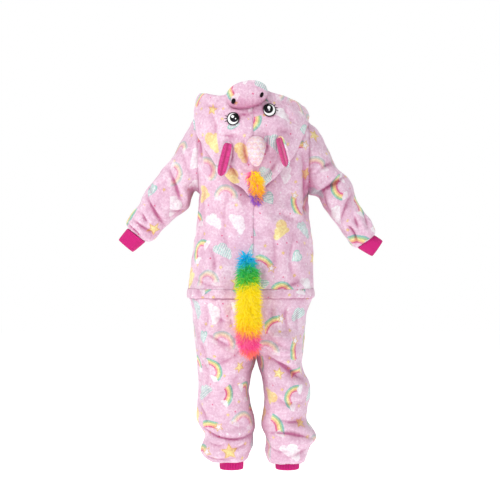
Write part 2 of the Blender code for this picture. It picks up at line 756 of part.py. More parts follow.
def hood_profile(side, place, neck):
    """One section of the thrown-back hood, from the neckline over the roll to its rim."""
    size = HOOD[side](place)
    fold = Vector((size.fold_x, size.fold_y, size.fold_z))
    rim = Vector((size.rim_x, size.rim_y, size.rim_z))
    up = Vector((0, 0, 1))
    out = Vector((rim.x, rim.y, 0)).normalized()
    rolled = neck + up * (size.stand - 2) + out * 11
    radius = min(HOOD_FOLD_RADIUS, 0.3 * (fold - rolled).length)
    under = fold - out * radius + up * radius
    over = fold + out * radius * 0.9 + up * radius
    knots = [neck, neck + up * size.stand * 0.6 + out * 0.5, neck + up * (size.stand + 2) + out * 5]
    knots += [rolled, rolled.lerp(under, 1 / 3), rolled.lerp(under, 2 / 3), under, fold, over]
    for part in (0.25, 0.5, 0.75):
        knots.append(over.lerp(rim, part) + out * size.belly * math.sin(math.pi * part))
    return curve_through(knots + [rim], HOOD_ROWS)


def settle(columns, cloth, first_row):
    """Moves a draped sheet out until its points, edges and faces all stand clear of the cloth."""
    for _ in range(SETTLE_ROUNDS):
        for left, right in zip(columns, columns[1:]):
            for r in range(first_row - 1, len(left) - 1):
                a, b, c, d = (left, r), (left, r + 1), (right, r), (right, r + 1)
                for corners in ((a, b), (a, c), (a, d), (b, c)):
                    middle = sum((column[row] for column, row in corners), Vector()) / 2
                    push = lift_clear(cloth, middle, CLEAR_OF_CLOTH * 0.7) - middle
                    for column, row in corners:
                        if push.length and row >= first_row:
                            column[row] = column[row] + push


def hood_panels(panels, cloth):
    """The two halves of the hood, joined down the middle of the back and sewn to the neckline."""
    pieces = {panel.name: panel for panel in panels}
    columns, seam_keys = [], {}
    for side, side_name in ((1, "right"), (-1, "left")):
        back, front = pieces[f"back_{side_name}"], pieces[f"front_{side_name}"]
        neck = doubled(back.rows[0][:ON_NECK + 1] + front.rows[0][ON_NECK - 1::-1], False)
        seam_keys[side] = back.keys[0][:ON_NECK + 1] + front.keys[0][ON_NECK - 1::-1]
        half = []
        for c, point in enumerate(neck):
            profile = hood_profile(side, HOOD_STATIONS * c / (len(neck) - 1), point)
            laid = [lift_clear(cloth, place, CLEAR_OF_CLOTH) for place in profile[HOOD_LAID_FROM:]]
            half.append(profile[:HOOD_LAID_FROM] + laid)
        columns = half[::-1] if side > 0 else columns + half[1:]
    settle(columns, cloth, HOOD_LAID_FROM)
    centre = len(columns) // 2
    halves = []
    for side, name, half in ((1, "hood_right", columns[centre::-1]), (-1, "hood_left", columns[centre:])):
        panel = Panel(name, [list(row) for row in zip(*half)], side, halved=True)
        panel.keys[0][::2] = seam_keys[side]
        halves.append(panel)
    return halves


def seat(tree, x, z):
    """The place on the cloth seen from behind at x and z, or None past its edge."""
    return tree.ray_cast(Vector((x, -600, z)), Vector((0, 1, 0)))[0]


def clear_lift(tree, points, faces, outward=Vector((0, -1, 0))):
    """The smallest lift at which a face made from points of the cloth stands clear of it."""
    lift = 0.35
    while lift < 4:
        raised = [tuple(point + outward * lift) for point in points]
        if not tree.overlap(BVHTree.FromPolygons(raised, faces)):
            break
        lift += 0.1
    return lift + 0.15


def polar_places(shape, rings, segments):
    """x and z of a centre and rings of an oval, turned by its tilt."""
    tilt = math.radians(shape.tilt)
    places = [(shape.x, shape.z)]
    for ring in rings:
        for step in range(segments):
            turn = 2 * math.pi * step / segments
            u = shape.half_width * ring * power(math.cos(turn))
            v = shape.half_height * ring * power(math.sin(turn))
            places.append((shape.x + u * math.cos(tilt) - v * math.sin(tilt),
                           shape.z + u * math.sin(tilt) + v * math.cos(tilt)))
    return places


def polar_faces(rings, segments, start=0):
    """Faces of a centre with rings round it, as numbers of its points."""
    faces = []
    for s in range(segments):
        n = (s + 1) % segments
        faces.append((start, start + 1 + s, start + 1 + n))
        for r in range(rings - 1):
            a = start + 1 + r * segments
            faces.append((a + s, a + segments + s, a + segments + n))
            faces.append((a + s, a + segments + n, a + n))
    return faces


def add_patch(name, material, tree, shape, rings, segments, heights, grow=0.0, rise=0.0):
    """A pad sewn on the cloth: its underside follows the cloth and its top stands up by heights."""
    base = []
    for index, (x, z) in enumerate(polar_places(shape, rings, segments)):
        inner = base[max(index - segments, 0)] if base else None
        hit = seat(tree, x, z)
        base.append(hit if hit is not None else Vector((x, inner.y, z)))
    faces = polar_faces(len(rings), segments)
    lift = clear_lift(tree, base, faces)
    out = Vector((0, -1, 0))
    base = [point + out * lift for point in base]
    middle = base[0]
    top = []
    for index, point in enumerate(base):
        height = heights[0] if index == 0 else heights[1 + (index - 1) // segments]
        swell = (point - middle) * grow * height / heights[0]
        top.append(point + out * height + swell + Vector((0, 0, rise * height / heights[0])))
    bm = bmesh.new()
    low = [bm.verts.new(point) for point in base]
    high = [bm.verts.new(point) for point in top]
    for a, b, c in faces:
        bm.faces.new((high[a], high[b], high[c]))
        bm.faces.new((low[a], low[c], low[b]))
    edge = 1 + (len(rings) - 1) * segments
    for s in range(segments):
        a, b = edge + s, edge + (s + 1) % segments
        bm.faces.new((low[a], low[b], high[b], high[a]))
    return add_object(name, material, bm), [(tuple(point) for point in top), faces]


def add_loft(name, material, sections):
    """A closed solid through sections that have the same number of points."""
    bm = bmesh.new()
    loops = [[bm.verts.new(point) for point in section] for section in sections]
    count = len(loops[0])
    for a, b in zip(loops, loops[1:]):
        for s in range(count):
            n = (s + 1) % count
            bm.faces.new((a[s], a[n], b[n]))
            bm.faces.new((a[s], b[n], b[s]))
    for loop, turn in ((loops[0], True), (loops[-1], False)):
        hub = bm.verts.new(sum((vert.co for vert in loop), Vector()) / count)
        for s in range(count):
            n = (s + 1) % count
            bm.faces.new((hub, loop[n], loop[s]) if turn else (hub, loop[s], loop[n]))
    return add_object(name, material, bm)


def fur_sections(sizes, steps, tree, clearance, round_points=12):
    """Sections of long fur that hangs on the cloth: flat behind, round outside, notched by locks."""
    keys = sizes.rows[:, 0]
    sections = []
    under, fall = None, (keys[-1] - keys[0]) / steps
    for step in range(steps, -1, -1):
        z = keys[0] + fall * step
        size = sizes(z)
        hits = [seat(tree, size.x + size.half_width * part, z) for part in (-1, -0.5, 0, 0.5, 1)]
        found = [hit.y for hit in hits if hit is not None]
        seated = min(found) - clearance if found else under
        under = seated if under is None else min(seated, under + HANG * fall)
        section = []
        for point in range(round_points):
            turn = 2 * math.pi * point / round_points
            lock = 1 - LOCK_DEPTH * ((point + step) % 2)
            x = size.x + size.half_width * math.cos(turn) * lock
            round_out = size.out * (0.5 + 0.5 * math.sin(turn) * lock)
            out = round_out if math.sin(turn) > -0.2 else 0.0
            section.append(Vector((x, under - out, z)))
        sections.append(section)
    return sections


def touches(tree, sections):
    """Whether a skin through sections meets the cloth."""
    count = len(sections[0])
    points = [tuple(point) for section in sections for point in section]
    faces = []
    for r in range(len(sections) - 1):
        for s in range(count):
            a, b = r * count + s, r * count + (s + 1) % count
            faces += [(a, b, b + count), (a, b + count, a + count)]
    return bool(tree.overlap(BVHTree.FromPolygons(points, faces)))


def add_fur(name, material, sizes, steps, tree):
    """Long fur as one body, seated as close to the cloth under it as it goes without touching."""
    clearance = 0.4
    while clearance < 6:
        if not touches(tree, fur_sections(sizes, steps, tree, clearance)):
            break
        clearance += 0.2
    return add_loft(name, material, fur_sections(sizes, steps, tree, clearance + 0.2))


def add_horn(tree, material):
    """A stuffed cone that flops down from its round base."""
    segments = 14
    shape = SimpleNamespace(x=HORN_BASE.x, z=HORN_BASE.z, half_width=HORN_BASE.radius,
                            half_height=HORN_BASE.radius, tilt=0)
    base = [seat(tree, x, z) for x, z in polar_places(shape, (0.5, 1), segments)]
    faces = polar_faces(2, segments)
    lift = clear_lift(tree, base, faces)
    out = Vector((0, -1, 0))
    base = [point + out * lift for point in base]
    root = base[0]
    bm = bmesh.new()
    low = [bm.verts.new(point) for point in base]
    for a, b, c in faces:
        bm.faces.new((low[a], low[b], low[c]))
    loop = low[1 + segments:]
    for index in range(1, len(HORN_RINGS.rows)):
        ring = HORN_RINGS(index)
        turn = math.radians(ring.turn)
        middle = root + Vector((0, -ring.out, ring.down))
        upward = Vector((0, -math.sin(turn), math.cos(turn)))
        following = []
        for s in range(segments):
            angle = 2 * math.pi * s / segments
            point = middle + Vector((math.cos(angle), 0, 0)) * ring.radius
            following.append(bm.verts.new(point + upward * math.sin(angle) * ring.radius))
        for s in range(segments):
            n = (s + 1) % segments
            bm.faces.new((loop[s], loop[n], following[n], following[s]))
        loop = following
    tip = bm.verts.new(root + Vector((0, -HORN_RINGS(9).out + 1, HORN_RINGS(9).down - 3)))
    for s in range(segments):
        bm.faces.new((loop[s], loop[(s + 1) % segments], tip))
    return add_object("horn", material, bm)


def ear_frame(tree, ear):
    """An ear's root and tip, its way across and its way out, seated on the hood."""
    root = seat(tree, ear.base_x, ear.base_z)
    tip = Vector((ear.tip_x, root.y, ear.tip_z))
    along = (tip - root).normalized()
    across = Vector((along.z, 0, -along.x)) * -1
    turned = Matrix.Rotation(math.radians(ear.twist) * math.copysign(1, ear.base_x), 3, along)
    across = turned @ across
    face = along.cross(across)
    if face.y > 0:
        face = -face
    return root, tip, across, face


def ear_half_width(ear, part):
    """Half the width of an ear along its length: a long leaf with a round tip."""
    return ear.half_width * (1 - abs(2 * part - 1) ** 3.2) ** 0.5 * (0.72 + 0.28 * blend(0, 0.5, part))


def ear_sections(ear, frame, away):
    """Sections of a padded ear and of its lining, this far off the line from its root to its tip."""
    root, tip, across, face = frame
    half = EAR_THICKNESS / 2
    low, high = half + 0.35, half + 0.35 + EAR_LINING
    sections, lining = [], []
    for step in range(EAR_STATIONS):
        part = 0.03 + 0.94 * step / (EAR_STATIONS - 1)
        middle = root.lerp(tip, part) - Vector((0, away, 0))
        width = ear_half_width(ear, part)
        dip = math.sin(math.pi * part)

        def at(u, out):
            return middle + across * (width * u) + face * out

        sections.append([at(-1, 0), at(-0.82, half), at(0, half - dip), at(0.82, half), at(1, 0),
                         at(0.82, -half), at(0, -half), at(-0.82, -half)])
        lining.append([at(-0.7, low), at(0, low - dip), at(0.7, low),
                       at(0.62, high), at(0, high - dip - 0.8), at(-0.62, high)])
    return sections, lining[1:-1]


def add_ear(side_name, ear, tree, outer_material, lining_material):
    """A padded ear and its pink lining, hanging from the hood and lying on it."""
    frame = ear_frame(tree, ear)
    away = EAR_FARTHEST
    while away > 0 and not touches(tree, ear_sections(ear, frame, away - SEATING_STEP)[0]):
        away -= SEATING_STEP
    sections, lining = ear_sections(ear, frame, away + SEATING_STEP / 2)
    add_loft(f"ear_{side_name}", outer_material, sections)
    add_loft(f"ear_lining_{side_name}", lining_material, lining)


def add_band(pieces, out, material):
    """The drop seat's band, made from the back's own points moved out."""
    columns = []
    for side_name, order in (("left", -1), ("right", 1)):
        back, trousers = pieces[f"back_{side_name}"], pieces[f"trouser_back_{side_name}"]
        half = []
        for c in range(ACROSS + 1):
            places = [(back.rows[-2][c], out[back.keys[-2][c]]), (back.rows[-1][c], out[back.keys[-1][c]]),
                      (trousers.rows[1][c], out[trousers.keys[1][c]])]
            places = [(point, way.normalized()) for point, way in places]
            lifts = (BAND_OUT.top, BAND_OUT.middle, BAND_OUT.bottom)
            under = [point + way * BAND_OUT.lift for point, way in places]
            over = [point + way * lift for (point, way), lift in zip(places, lifts)]
            half.append(under + over[::-1])
        columns += half[::-1] if order < 0 else half[1:]
    add_loft("drop_seat_band", material, columns)
    return columns


def zip_line(pieces, out):
    """The middle of the zip: places, ways out and half widths, from the neckline down."""
    right, left = pieces["front_right"], pieces["front_left"]
    line = []
    for keys, a_row, b_row, b_keys in zip(right.keys, right.rows, left.rows, left.keys):
        a, b = a_row[0], b_row[0]
        way = out[keys[0]].normalized() + out[b_keys[0]].normalized()
        way.x = 0
        width = (a - b).length / 2
        line.append(((a + b) / 2, way.normalized(), width))
        if width < ZIP_OPENING * 0.5:
            break
    closing, last = line.pop(), line[-1]
    line.append((last[0].lerp(closing[0], 0.7), closing[1], last[2] * 0.3))
    return line


def add_zip(pieces, out, tape):
    """The zip's closed chain, between the two front edges."""
    sections = []
    side = Vector((1, 0, 0))
    for place, way, width in zip_line(pieces, out):
        half = width - (ZIP_OPENING - CHAIN_HALF_WIDTH)
        top, low = place - way * 0.2, place - way * (0.2 + CHAIN_THICKNESS)
        sections.append([top - side * half, top + side * half, low + side * half, low - side * half])
    add_loft("zip_chain", tape, sections)


def box_between(bm, low, high):
    """A box in a mesh, from its lowest to its highest corner."""
    made = bmesh.ops.create_cube(bm, size=1)["verts"]
    bmesh.ops.scale(bm, vec=[b - a for a, b in zip(low, high)], verts=made)
    bmesh.ops.translate(bm, vec=[(a + b) / 2 for a, b in zip(low, high)], verts=made)
    return made


def slider_frame(pieces, out):
    """Where the slider sits on the zip: its place, its way down and its way out."""
    line = zip_line(pieces, out)
    run = SLIDER_BELOW_NECK
    for (a, way_a, _), (b, way_b, _) in zip(line, line[1:]):
        step = (b - a).length
        if run <= step:
            part = run / step
            down = (b - a).normalized()
            facing = down.cross(Vector((1, 0, 0))).normalized()
            if facing.y < 0:
                facing = -facing
            return a.lerp(b, part), down, facing
        run -= step
    raise ValueError("the zip is shorter than the slider's place")


def frame_matrix(place, down, facing, out_by=0.0):
    """From a slider's own axes (across, down the zip, out) to the garment's."""
    across = down.cross(facing)
    matrix = Matrix((across, down, facing)).transposed().to_4x4()
    matrix.translation = place + facing * out_by
    return matrix


def add_slider(pieces, out, material):
    """The slider's body with the arch that carries its pull tab."""
    matrix = frame_matrix(*slider_frame(pieces, out))
    bm = bmesh.new()
    box_between(bm, (-SLIDER.half_width, -SLIDER.half_length, SLIDER.base),
                (SLIDER.half_width, SLIDER.half_length, SLIDER.top))
    upright = [edge for edge in bm.edges if abs(edge.verts[0].co.z - edge.verts[1].co.z) > 1]
    bmesh.ops.bevel(bm, geom=upright, offset=SLIDER.corner, segments=2, profile=0.5, affect="EDGES",
                    material=-1)
    bmesh.ops.transform(bm, matrix=matrix, verts=bm.verts)
    body = add_object("zip_slider", material, bm)
    wide, post_end, sunk = ARCH.half_width, ARCH.reach - ARCH.post, SLIDER.top - 1
    bar_wide, bar_end, bar_top = wide - 0.02, ARCH.reach - 0.1, ARCH.top - 0.02
    for index, (low, high) in enumerate((
        ((-wide, -ARCH.reach, sunk), (wide, -post_end, ARCH.top)),
        ((-wide, post_end, sunk), (wide, ARCH.reach, ARCH.top)),
        ((-bar_wide, -bar_end, ARCH.clear), (bar_wide, bar_end, bar_top)),
    )):
        bm = bmesh.new()
        box_between(bm, low, high)
        bmesh.ops.transform(bm, matrix=matrix, verts=bm.verts)
        piece = add_object(f"arch_piece_{index}", material, bm)
        piece.hide_render = True
        piece.display_type = "WIRE"
        join = body.modifiers.new(f"arch_{index}", "BOOLEAN")
        join.operation = "UNION"
        join.solver = "EXACT"
        join.object = piece
    return body


def add_pull(pieces, out, material):
    """The pull tab, hanging on the slider's arch with its origin on the hinge axis."""
    bm = bmesh.new()
    xs = (-PULL.half_width, -PULL.hole, PULL.hole, PULL.half_width)
    ys = (-PULL.bar, PULL.bar, PULL.hole_end, PULL.end)
    grid = [[bm.verts.new((x, y, -PULL.bar)) for x in xs] for y in ys]
    for r in range(3):
        for c in range(3):
            if (r, c) != (1, 1):
                bm.faces.new((grid[r][c], grid[r][c + 1], grid[r + 1][c + 1], grid[r + 1][c]))
    raised = bmesh.ops.extrude_face_region(bm, geom=list(bm.faces))["geom"]
    lifted = [item for item in raised if isinstance(item, bmesh.types.BMVert)]
    bmesh.ops.translate(bm, vec=(0, 0, 2 * PULL.bar), verts=lifted)
    ends = [edge for edge in bm.edges if all(vert.co.y > PULL.end - 0.1 for vert in edge.verts)
            and abs(edge.verts[0].co.z - edge.verts[1].co.z) > 1
            and all(abs(vert.co.x) > PULL.half_width - 0.1 for vert in edge.verts)]
    bmesh.ops.bevel(bm, geom=ends, offset=PULL.corner, segments=2, profile=0.5, affect="EDGES", material=-1)
    matrix = frame_matrix(*slider_frame(pieces, out), PULL_AXIS_OUT)
    turned = matrix.to_3x3().to_4x4()
    bmesh.ops.transform(bm, matrix=turned, verts=bm.verts)
    tab = add_object("zip_pull", material, bm)
    tab.location = matrix.translation * MM
    return tab


def main():
    for thing in list(bpy.data.objects):
        bpy.data.objects.remove(thing)
    materials = {name: plain_material(name) for name in COLOURS}
    panels = body_panels()
    panels += cuff_panels(panels)
    press_folds(panels)
    cloth_grids = [(panel.rows, panel.outward, panel.closed) for panel in panels]
    cloth = surface_tree(cloth_grids)
    panels += hood_panels(panels, cloth)
    out = weld_normals(panels)
    pieces = {panel.name: panel for panel in panels}
    for solid in [solid for panel in panels for solid in panel.solids()]:
        outside, inside = wall_grids(solid, out)
        material = "hot_pink_rib" if "cuff" in solid.name else "print_fleece"
        add_wall(solid, outside, inside, materials[material])

    hood = surface_tree([(pieces[name].rows, pieces[name].outward, False)
                         for name in ("hood_right", "hood_left")])
    muzzle, (muzzle_points, muzzle_faces) = add_patch(
        "muzzle", materials["print_fleece"], hood, MUZZLE, (0.4, 0.72, 0.92, 1), 20,
        (MUZZLE.bulge, MUZZLE.bulge * 0.95, MUZZLE.bulge * 0.78, MUZZLE.bulge * 0.5, MUZZLE.edge),
        grow=0.05, rise=5)
    muzzle_top = BVHTree.FromPolygons(list(muzzle_points), muzzle_faces)
    for side, side_name in ((1, "right"), (-1, "left")):
        add_patch(f"nostril_{side_name}", materials["black_embroidery"], muzzle_top, NOSTRILS[side],
                  (1,), 10, (1.4, 1.0))
        add_patch(f"eye_{side_name}", materials["eye_embroidery"], hood, EYES[side],
                  (0.6, 1), 16, (2.4, 2.2, 1.4))
        add_ear(side_name, EARS[side], hood, materials["print_fleece"], materials["hot_pink_plush"])
    add_horn(hood, materials["print_fleece"])
    add_fur("mane", materials["orange_fur"], MANE, 7, hood)
    band = add_band(pieces, out, materials["print_fleece"])
    band_outside = [[column[index] for column in band] for index in (5, 4, 3)]
    rump = surface_tree(cloth_grids + [(band_outside, -1, False)])
    add_fur("tail", materials["yellow_fur"], TAIL, 11, rump)
    add_zip(pieces, out, materials["zip_tape"])
    add_slider(pieces, out, materials["zip_metal"])
    add_pull(pieces, out, materials["zip_metal"])


main()
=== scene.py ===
# %% [markdown]
# # Dressing an animal onesie
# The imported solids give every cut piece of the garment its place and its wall. This notebook turns
# them into cloth: it smooths each piece, lays it out flat to carry the print, presses creases into
# it, and adds what solids are too coarse for, such as fur, ribs, stitches and zip teeth.

# %% The frame and the tools
import json
import math

import bmesh
import bpy
import numpy as np
from mathutils import Matrix, Vector
from mathutils.bvhtree import BVHTree
from mathutils.kdtree import KDTree

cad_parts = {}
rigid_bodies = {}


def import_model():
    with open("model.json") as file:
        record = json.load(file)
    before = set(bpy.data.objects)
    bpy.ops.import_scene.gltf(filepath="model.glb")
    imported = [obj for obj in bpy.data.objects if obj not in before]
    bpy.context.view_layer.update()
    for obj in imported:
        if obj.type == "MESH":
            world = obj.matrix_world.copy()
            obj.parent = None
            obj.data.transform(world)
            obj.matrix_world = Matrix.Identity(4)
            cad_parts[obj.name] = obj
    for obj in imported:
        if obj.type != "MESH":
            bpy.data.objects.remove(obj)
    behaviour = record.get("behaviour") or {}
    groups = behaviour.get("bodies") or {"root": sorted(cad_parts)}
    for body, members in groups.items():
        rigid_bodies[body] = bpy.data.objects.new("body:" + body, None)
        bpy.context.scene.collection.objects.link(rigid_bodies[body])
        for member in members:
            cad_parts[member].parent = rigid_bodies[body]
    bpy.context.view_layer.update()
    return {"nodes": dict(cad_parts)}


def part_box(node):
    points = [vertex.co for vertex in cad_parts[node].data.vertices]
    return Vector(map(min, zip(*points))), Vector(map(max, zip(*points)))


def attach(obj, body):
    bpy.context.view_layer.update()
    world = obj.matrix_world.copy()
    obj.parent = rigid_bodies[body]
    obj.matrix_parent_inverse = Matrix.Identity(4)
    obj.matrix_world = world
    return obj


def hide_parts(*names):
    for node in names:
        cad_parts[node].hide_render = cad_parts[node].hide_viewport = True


for leftover in list(bpy.data.objects):
    bpy.data.objects.remove(leftover)
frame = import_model()
nodes = frame["nodes"]

# %% [markdown]
# ## Small tools
# Every piece goes from a bmesh, where shapes are cut and joined, to an object, and its points go to
# arrays and back, where thousands of them are moved at once.


# %% Meshes, points and numbers on points
BODY = "garment"  # all cloth is in this one body; only the zip's pull has a body of its own


def add_object(name, bm, material=None, smooth=True):
    mesh = bpy.data.meshes.new(name)
    bm.to_mesh(mesh)
    bm.free()
    if smooth:
        mesh.shade_smooth()
    thing = bpy.data.objects.new(name, mesh)
    bpy.context.collection.objects.link(thing)
    if material:
        mesh.materials.append(material)
    return thing


def dress(thing, slot, *solids):
    """Hides the solids that a piece stands for and puts the piece in the garment's body; its slot is not
    used.
    """
    if solids:
        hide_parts(*solids)
    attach(thing, BODY)


def points_of(mesh):
    values = np.empty(len(mesh.vertices) * 3)
    mesh.vertices.foreach_get("co", values)
    return values.reshape(-1, 3)


def normals_of(mesh):
    values = np.empty(len(mesh.vertices) * 3)
    mesh.vertex_normals.foreach_get("vector", values)
    return values.reshape(-1, 3)


def put_points(mesh, places):
    mesh.vertices.foreach_set("co", places.ravel())
    mesh.update()


def note(mesh, name, values):
    """Keeps a number for each point, for its material to read."""
    attribute = mesh.attributes.new(name, "FLOAT", "POINT")
    attribute.data.foreach_set("value", np.asarray(values, np.float32))


def finder(places):
    """A tree that finds the nearest of some places."""
    tree = KDTree(len(places))
    for index, place in enumerate(places):
        tree.insert(place, index)
    tree.balance()
    return tree


def border_of(mesh):
    """The numbers of the points on a mesh's open edges."""
    bm = bmesh.new()
    bm.from_mesh(mesh)
    border = [vert.index for vert in bm.verts if vert.is_boundary]
    bm.free()
    return border


def ray_target(things):
    """One tree over the surfaces of several pieces, for rays to hit."""
    corners, faces = [], []
    for thing in things:
        start = len(corners)
        corners += [vert.co.copy() for vert in thing.data.vertices]
        faces += [[start + index for index in face.vertices] for face in thing.data.polygons]
    return BVHTree.FromPolygons(corners, faces)


# %% [markdown]
# ## Camera, floor and light
# The photograph looks square at the back from about three metres, so a long lens at the height of the
# seat gives the same narrow perspective. The floor is a wide plain sheet, and three large soft lamps
# with a bright surrounding keep every shadow pale, as in a white studio.

# %% Camera
DISTANCE = 3.2  # metres from the lens to the garment
EYE = Vector((-0.005, -DISTANCE, -0.398))
HALF_VIEW = 0.65  # metres seen to each side at the garment
camera = bpy.data.objects.new("camera", bpy.data.cameras.new("camera"))
camera.location = EYE
camera.rotation_euler = (math.radians(90), 0, 0)
camera.data.angle = 2 * math.atan(HALF_VIEW / DISTANCE)
bpy.context.collection.objects.link(camera)
bpy.context.scene.camera = camera
print("camera looks along +Y from", [round(v, 3) for v in EYE])


# %% Floor, lamps and surroundings
FLOOR = -1.012
AIM = Vector((0, 0, -0.45))


def lamp(name, place, size, power, colour):
    """A square soft lamp aimed at the middle of the garment."""
    light = bpy.data.lights.new(name, "AREA")
    light.shape, light.size, light.energy, light.color = "SQUARE", size, power, colour
    thing = bpy.data.objects.new(name, light)
    thing.location = place
    thing.rotation_euler = (Vector(place) - AIM).to_track_quat("Z", "Y").to_euler()
    bpy.context.collection.objects.link(thing)


lamp("key", (-1.9, -2.1, 1.6), 1.3, 58, (1, 0.985, 0.975))
lamp("fill", (2.0, -2.2, 0.3), 1.8, 13, (0.97, 0.98, 1))
lamp("top", (0.1, 0.6, 2.0), 1.6, 20, (1, 1, 1))
world = bpy.data.worlds.new("studio")
world.use_nodes = True
surround = world.node_tree.nodes["Background"]
surround.inputs["Color"].default_value = (1, 1, 1, 1)
ray = world.node_tree.nodes.new("ShaderNodeLightPath")
level = world.node_tree.nodes.new("ShaderNodeMapRange")
level.inputs["To Min"].default_value, level.inputs["To Max"].default_value = 0.42, 1.0
world.node_tree.links.new(ray.outputs["Is Camera Ray"], level.inputs["Value"])
world.node_tree.links.new(level.outputs["Result"], surround.inputs["Strength"])
bpy.context.scene.world = world
bpy.context.scene.view_settings.view_transform = "Standard"

floor_paint = bpy.data.materials.new("white_floor")
floor_paint.use_nodes = True
FLOOR_LOOK = {"Base Color": (0.93, 0.93, 0.93, 1), "Roughness": 0.9, "Emission Color": (1, 1, 1, 1),
              "Emission Strength": 0.6}
for socket, value in FLOOR_LOOK.items():
    floor_paint.node_tree.nodes["Principled BSDF"].inputs[socket].default_value = value
floor_sheet = bmesh.new()
bmesh.ops.create_grid(floor_sheet, x_segments=1, y_segments=1, size=6)
bmesh.ops.translate(floor_sheet, vec=(0, 0, FLOOR), verts=floor_sheet.verts)
add_object("floor", floor_sheet, floor_paint, smooth=False)
print("floor at", FLOOR)

# %% [markdown]
# ## Shader maths written as Python
# A print drawn by nodes needs hundreds of small sums. A class that wraps a socket and overloads the
# operators lets each motif be written as a formula, and every operator adds its Math node.


# %% A socket that does sums
class Knob:
    """One output socket of a finish; an operator on it adds a Math node."""

    def __init__(self, finish, socket):
        self.finish, self.socket = finish, socket

    def __add__(self, other):
        return self.finish.sum("ADD", self, other)

    def __sub__(self, other):
        return self.finish.sum("SUBTRACT", self, other)

    def __rsub__(self, other):
        return self.finish.sum("SUBTRACT", other, self)

    def __mul__(self, other):
        return self.finish.sum("MULTIPLY", self, other)

    def __truediv__(self, other):
        return self.finish.sum("DIVIDE", self, other)

    def __gt__(self, other):
        return self.finish.sum("GREATER_THAN", self, other)

    def __lt__(self, other):
        return self.finish.sum("LESS_THAN", self, other)

    __radd__, __rmul__ = __add__, __mul__


class Finish:
    """A material whose nodes are added by formulas."""

    def __init__(self, name, colour=(0.8, 0.8, 0.8), roughness=0.9, sheen=0.0, metallic=0.0):
        self.material = bpy.data.materials.new(name)
        self.material.use_nodes = True
        self.tree = self.material.node_tree
        self.shader = self.tree.nodes["Principled BSDF"]
        self.shader.inputs["Base Color"].default_value = (*colour, 1)
        self.shader.inputs["Roughness"].default_value = roughness
        self.shader.inputs["Metallic"].default_value = metallic
        self.shader.inputs["Sheen Weight"].default_value = sheen
        self.shader.inputs["Sheen Roughness"].default_value = 0.5
        self.material.diffuse_color = (*colour, 1)

    def feed(self, socket, value):
        if isinstance(value, Knob):
            self.tree.links.new(value.socket, socket)
        elif hasattr(value, "__len__") and len(value) == 3 and socket.type == "RGBA":
            socket.default_value = (*value, 1)
        else:
            socket.default_value = value

    def add(self, kind, settings=(), output=0, **inputs):
        """A node of any kind; its sockets are given by name, or as s0, s1 by number."""
        node = self.tree.nodes.new(kind)
        for name, value in dict(settings).items():
            if name == "stops":
                ramp = node.color_ramp
                while len(ramp.elements) < len(value):
                    ramp.elements.new(0.5)
                for element, (place, colour) in zip(ramp.elements, value):
                    element.position, element.color = place, (*colour, 1)
            elif name == "interpolation":
                node.color_ramp.interpolation = value
            else:
                setattr(node, name, value)
        for name, value in inputs.items():
            if name[0] == "s" and name[1:].isdigit():
                socket = node.inputs[int(name[1:])]
            else:
                socket = node.inputs[name.replace("_", " ")]
            self.feed(socket, value)
        return Knob(self, node.outputs[output])

    def sum(self, operation, *values, clamp=False):
        sockets = {f"s{index}": value for index, value in enumerate(values)}
        return self.add("ShaderNodeMath", {"operation": operation, "use_clamp": clamp}, **sockets)

    def clamp(self, value):
        return self.sum("ADD", value, 0.0, clamp=True)

    def mix(self, factor, first, second, blend="MIX"):
        """A colour between two; the factor picks the second."""
        settings = {"data_type": "RGBA", "blend_type": blend}
        return self.add("ShaderNodeMix", settings, output=2, s0=factor, s6=first, s7=second)

    def noted(self, name):
        """The number that note() kept for each point."""
        return self.add("ShaderNodeAttribute", {"attribute_name": name}, output=2)

    def place(self, uv=None):
        """Where a point lies: on the object, or on the flat cut of its piece."""
        if uv:
            return self.add("ShaderNodeUVMap", {"uv_map": uv})
        return self.add("ShaderNodeTexCoord", output=3)

    def split(self, vector):
        node = self.tree.nodes.new("ShaderNodeSeparateXYZ")
        self.feed(node.inputs[0], vector)
        return [Knob(self, node.outputs[index]) for index in range(3)]

    def join(self, x, y, z=0.0):
        return self.add("ShaderNodeCombineXYZ", s0=x, s1=y, s2=z)

    def noise(self, vector, scale, detail=2.0, roughness=0.5):
        return self.add("ShaderNodeTexNoise", Vector=vector, Scale=scale, Detail=detail, Roughness=roughness)

    def bump(self, height, distance, strength=1.0, under=None):
        inputs = dict(Height=height, Distance=distance, Strength=strength)
        if under is not None:
            inputs["Normal"] = under
        return self.add("ShaderNodeBump", **inputs)

    def wear(self, **sockets):
        for name, value in sockets.items():
            self.feed(self.shader.inputs[name.replace("_", " ")], value)
        return self.material


def srgb(red, green, blue):
    """A colour read from a screen, 0 to 255, as the shader's linear light."""
    return tuple(((v / 255 + 0.055) / 1.055) ** 2.4 if v > 10 else v / 3295 for v in (red, green, blue))


# %% [markdown]
# ## The print
# The fleece is printed all over with rainbows, clouds, stars, hearts and comets on pale pink. A motif
# is a formula in millimetres round its own centre. The flat cut of each piece is divided in cells like
# brickwork; a random number for each cell picks the motif, turns it and nudges it. The pile blurs a
# real print, so the coordinates are shaken a little by noise before anything is drawn.

# %% Motifs as formulas
PINK = srgb(240, 209, 228)
MOTIF_CELL, SPECK_CELL, MOTIF_SIZE = 74.0, 27.0, 1.4
INK = dict(white=srgb(253, 253, 255), yellow=srgb(254, 242, 164), gold=srgb(238, 196, 108),
           mint=srgb(166, 222, 210), rose=srgb(232, 112, 158), orange=srgb(252, 204, 150),
           green=srgb(184, 226, 158), sea=srgb(142, 210, 198), sun=srgb(254, 230, 158))
PUFFS = ((-0.62, -0.12, 0.40), (-0.15, 0.22, 0.50), (0.42, 0.08, 0.42), (0.72, -0.2, 0.30),
         (0.05, -0.2, 0.45))


def distance(f, x, y, cx=0.0, cy=0.0):
    dx, dy = x - cx, y - cy
    return f.sum("SQRT", dx * dx + dy * dy)


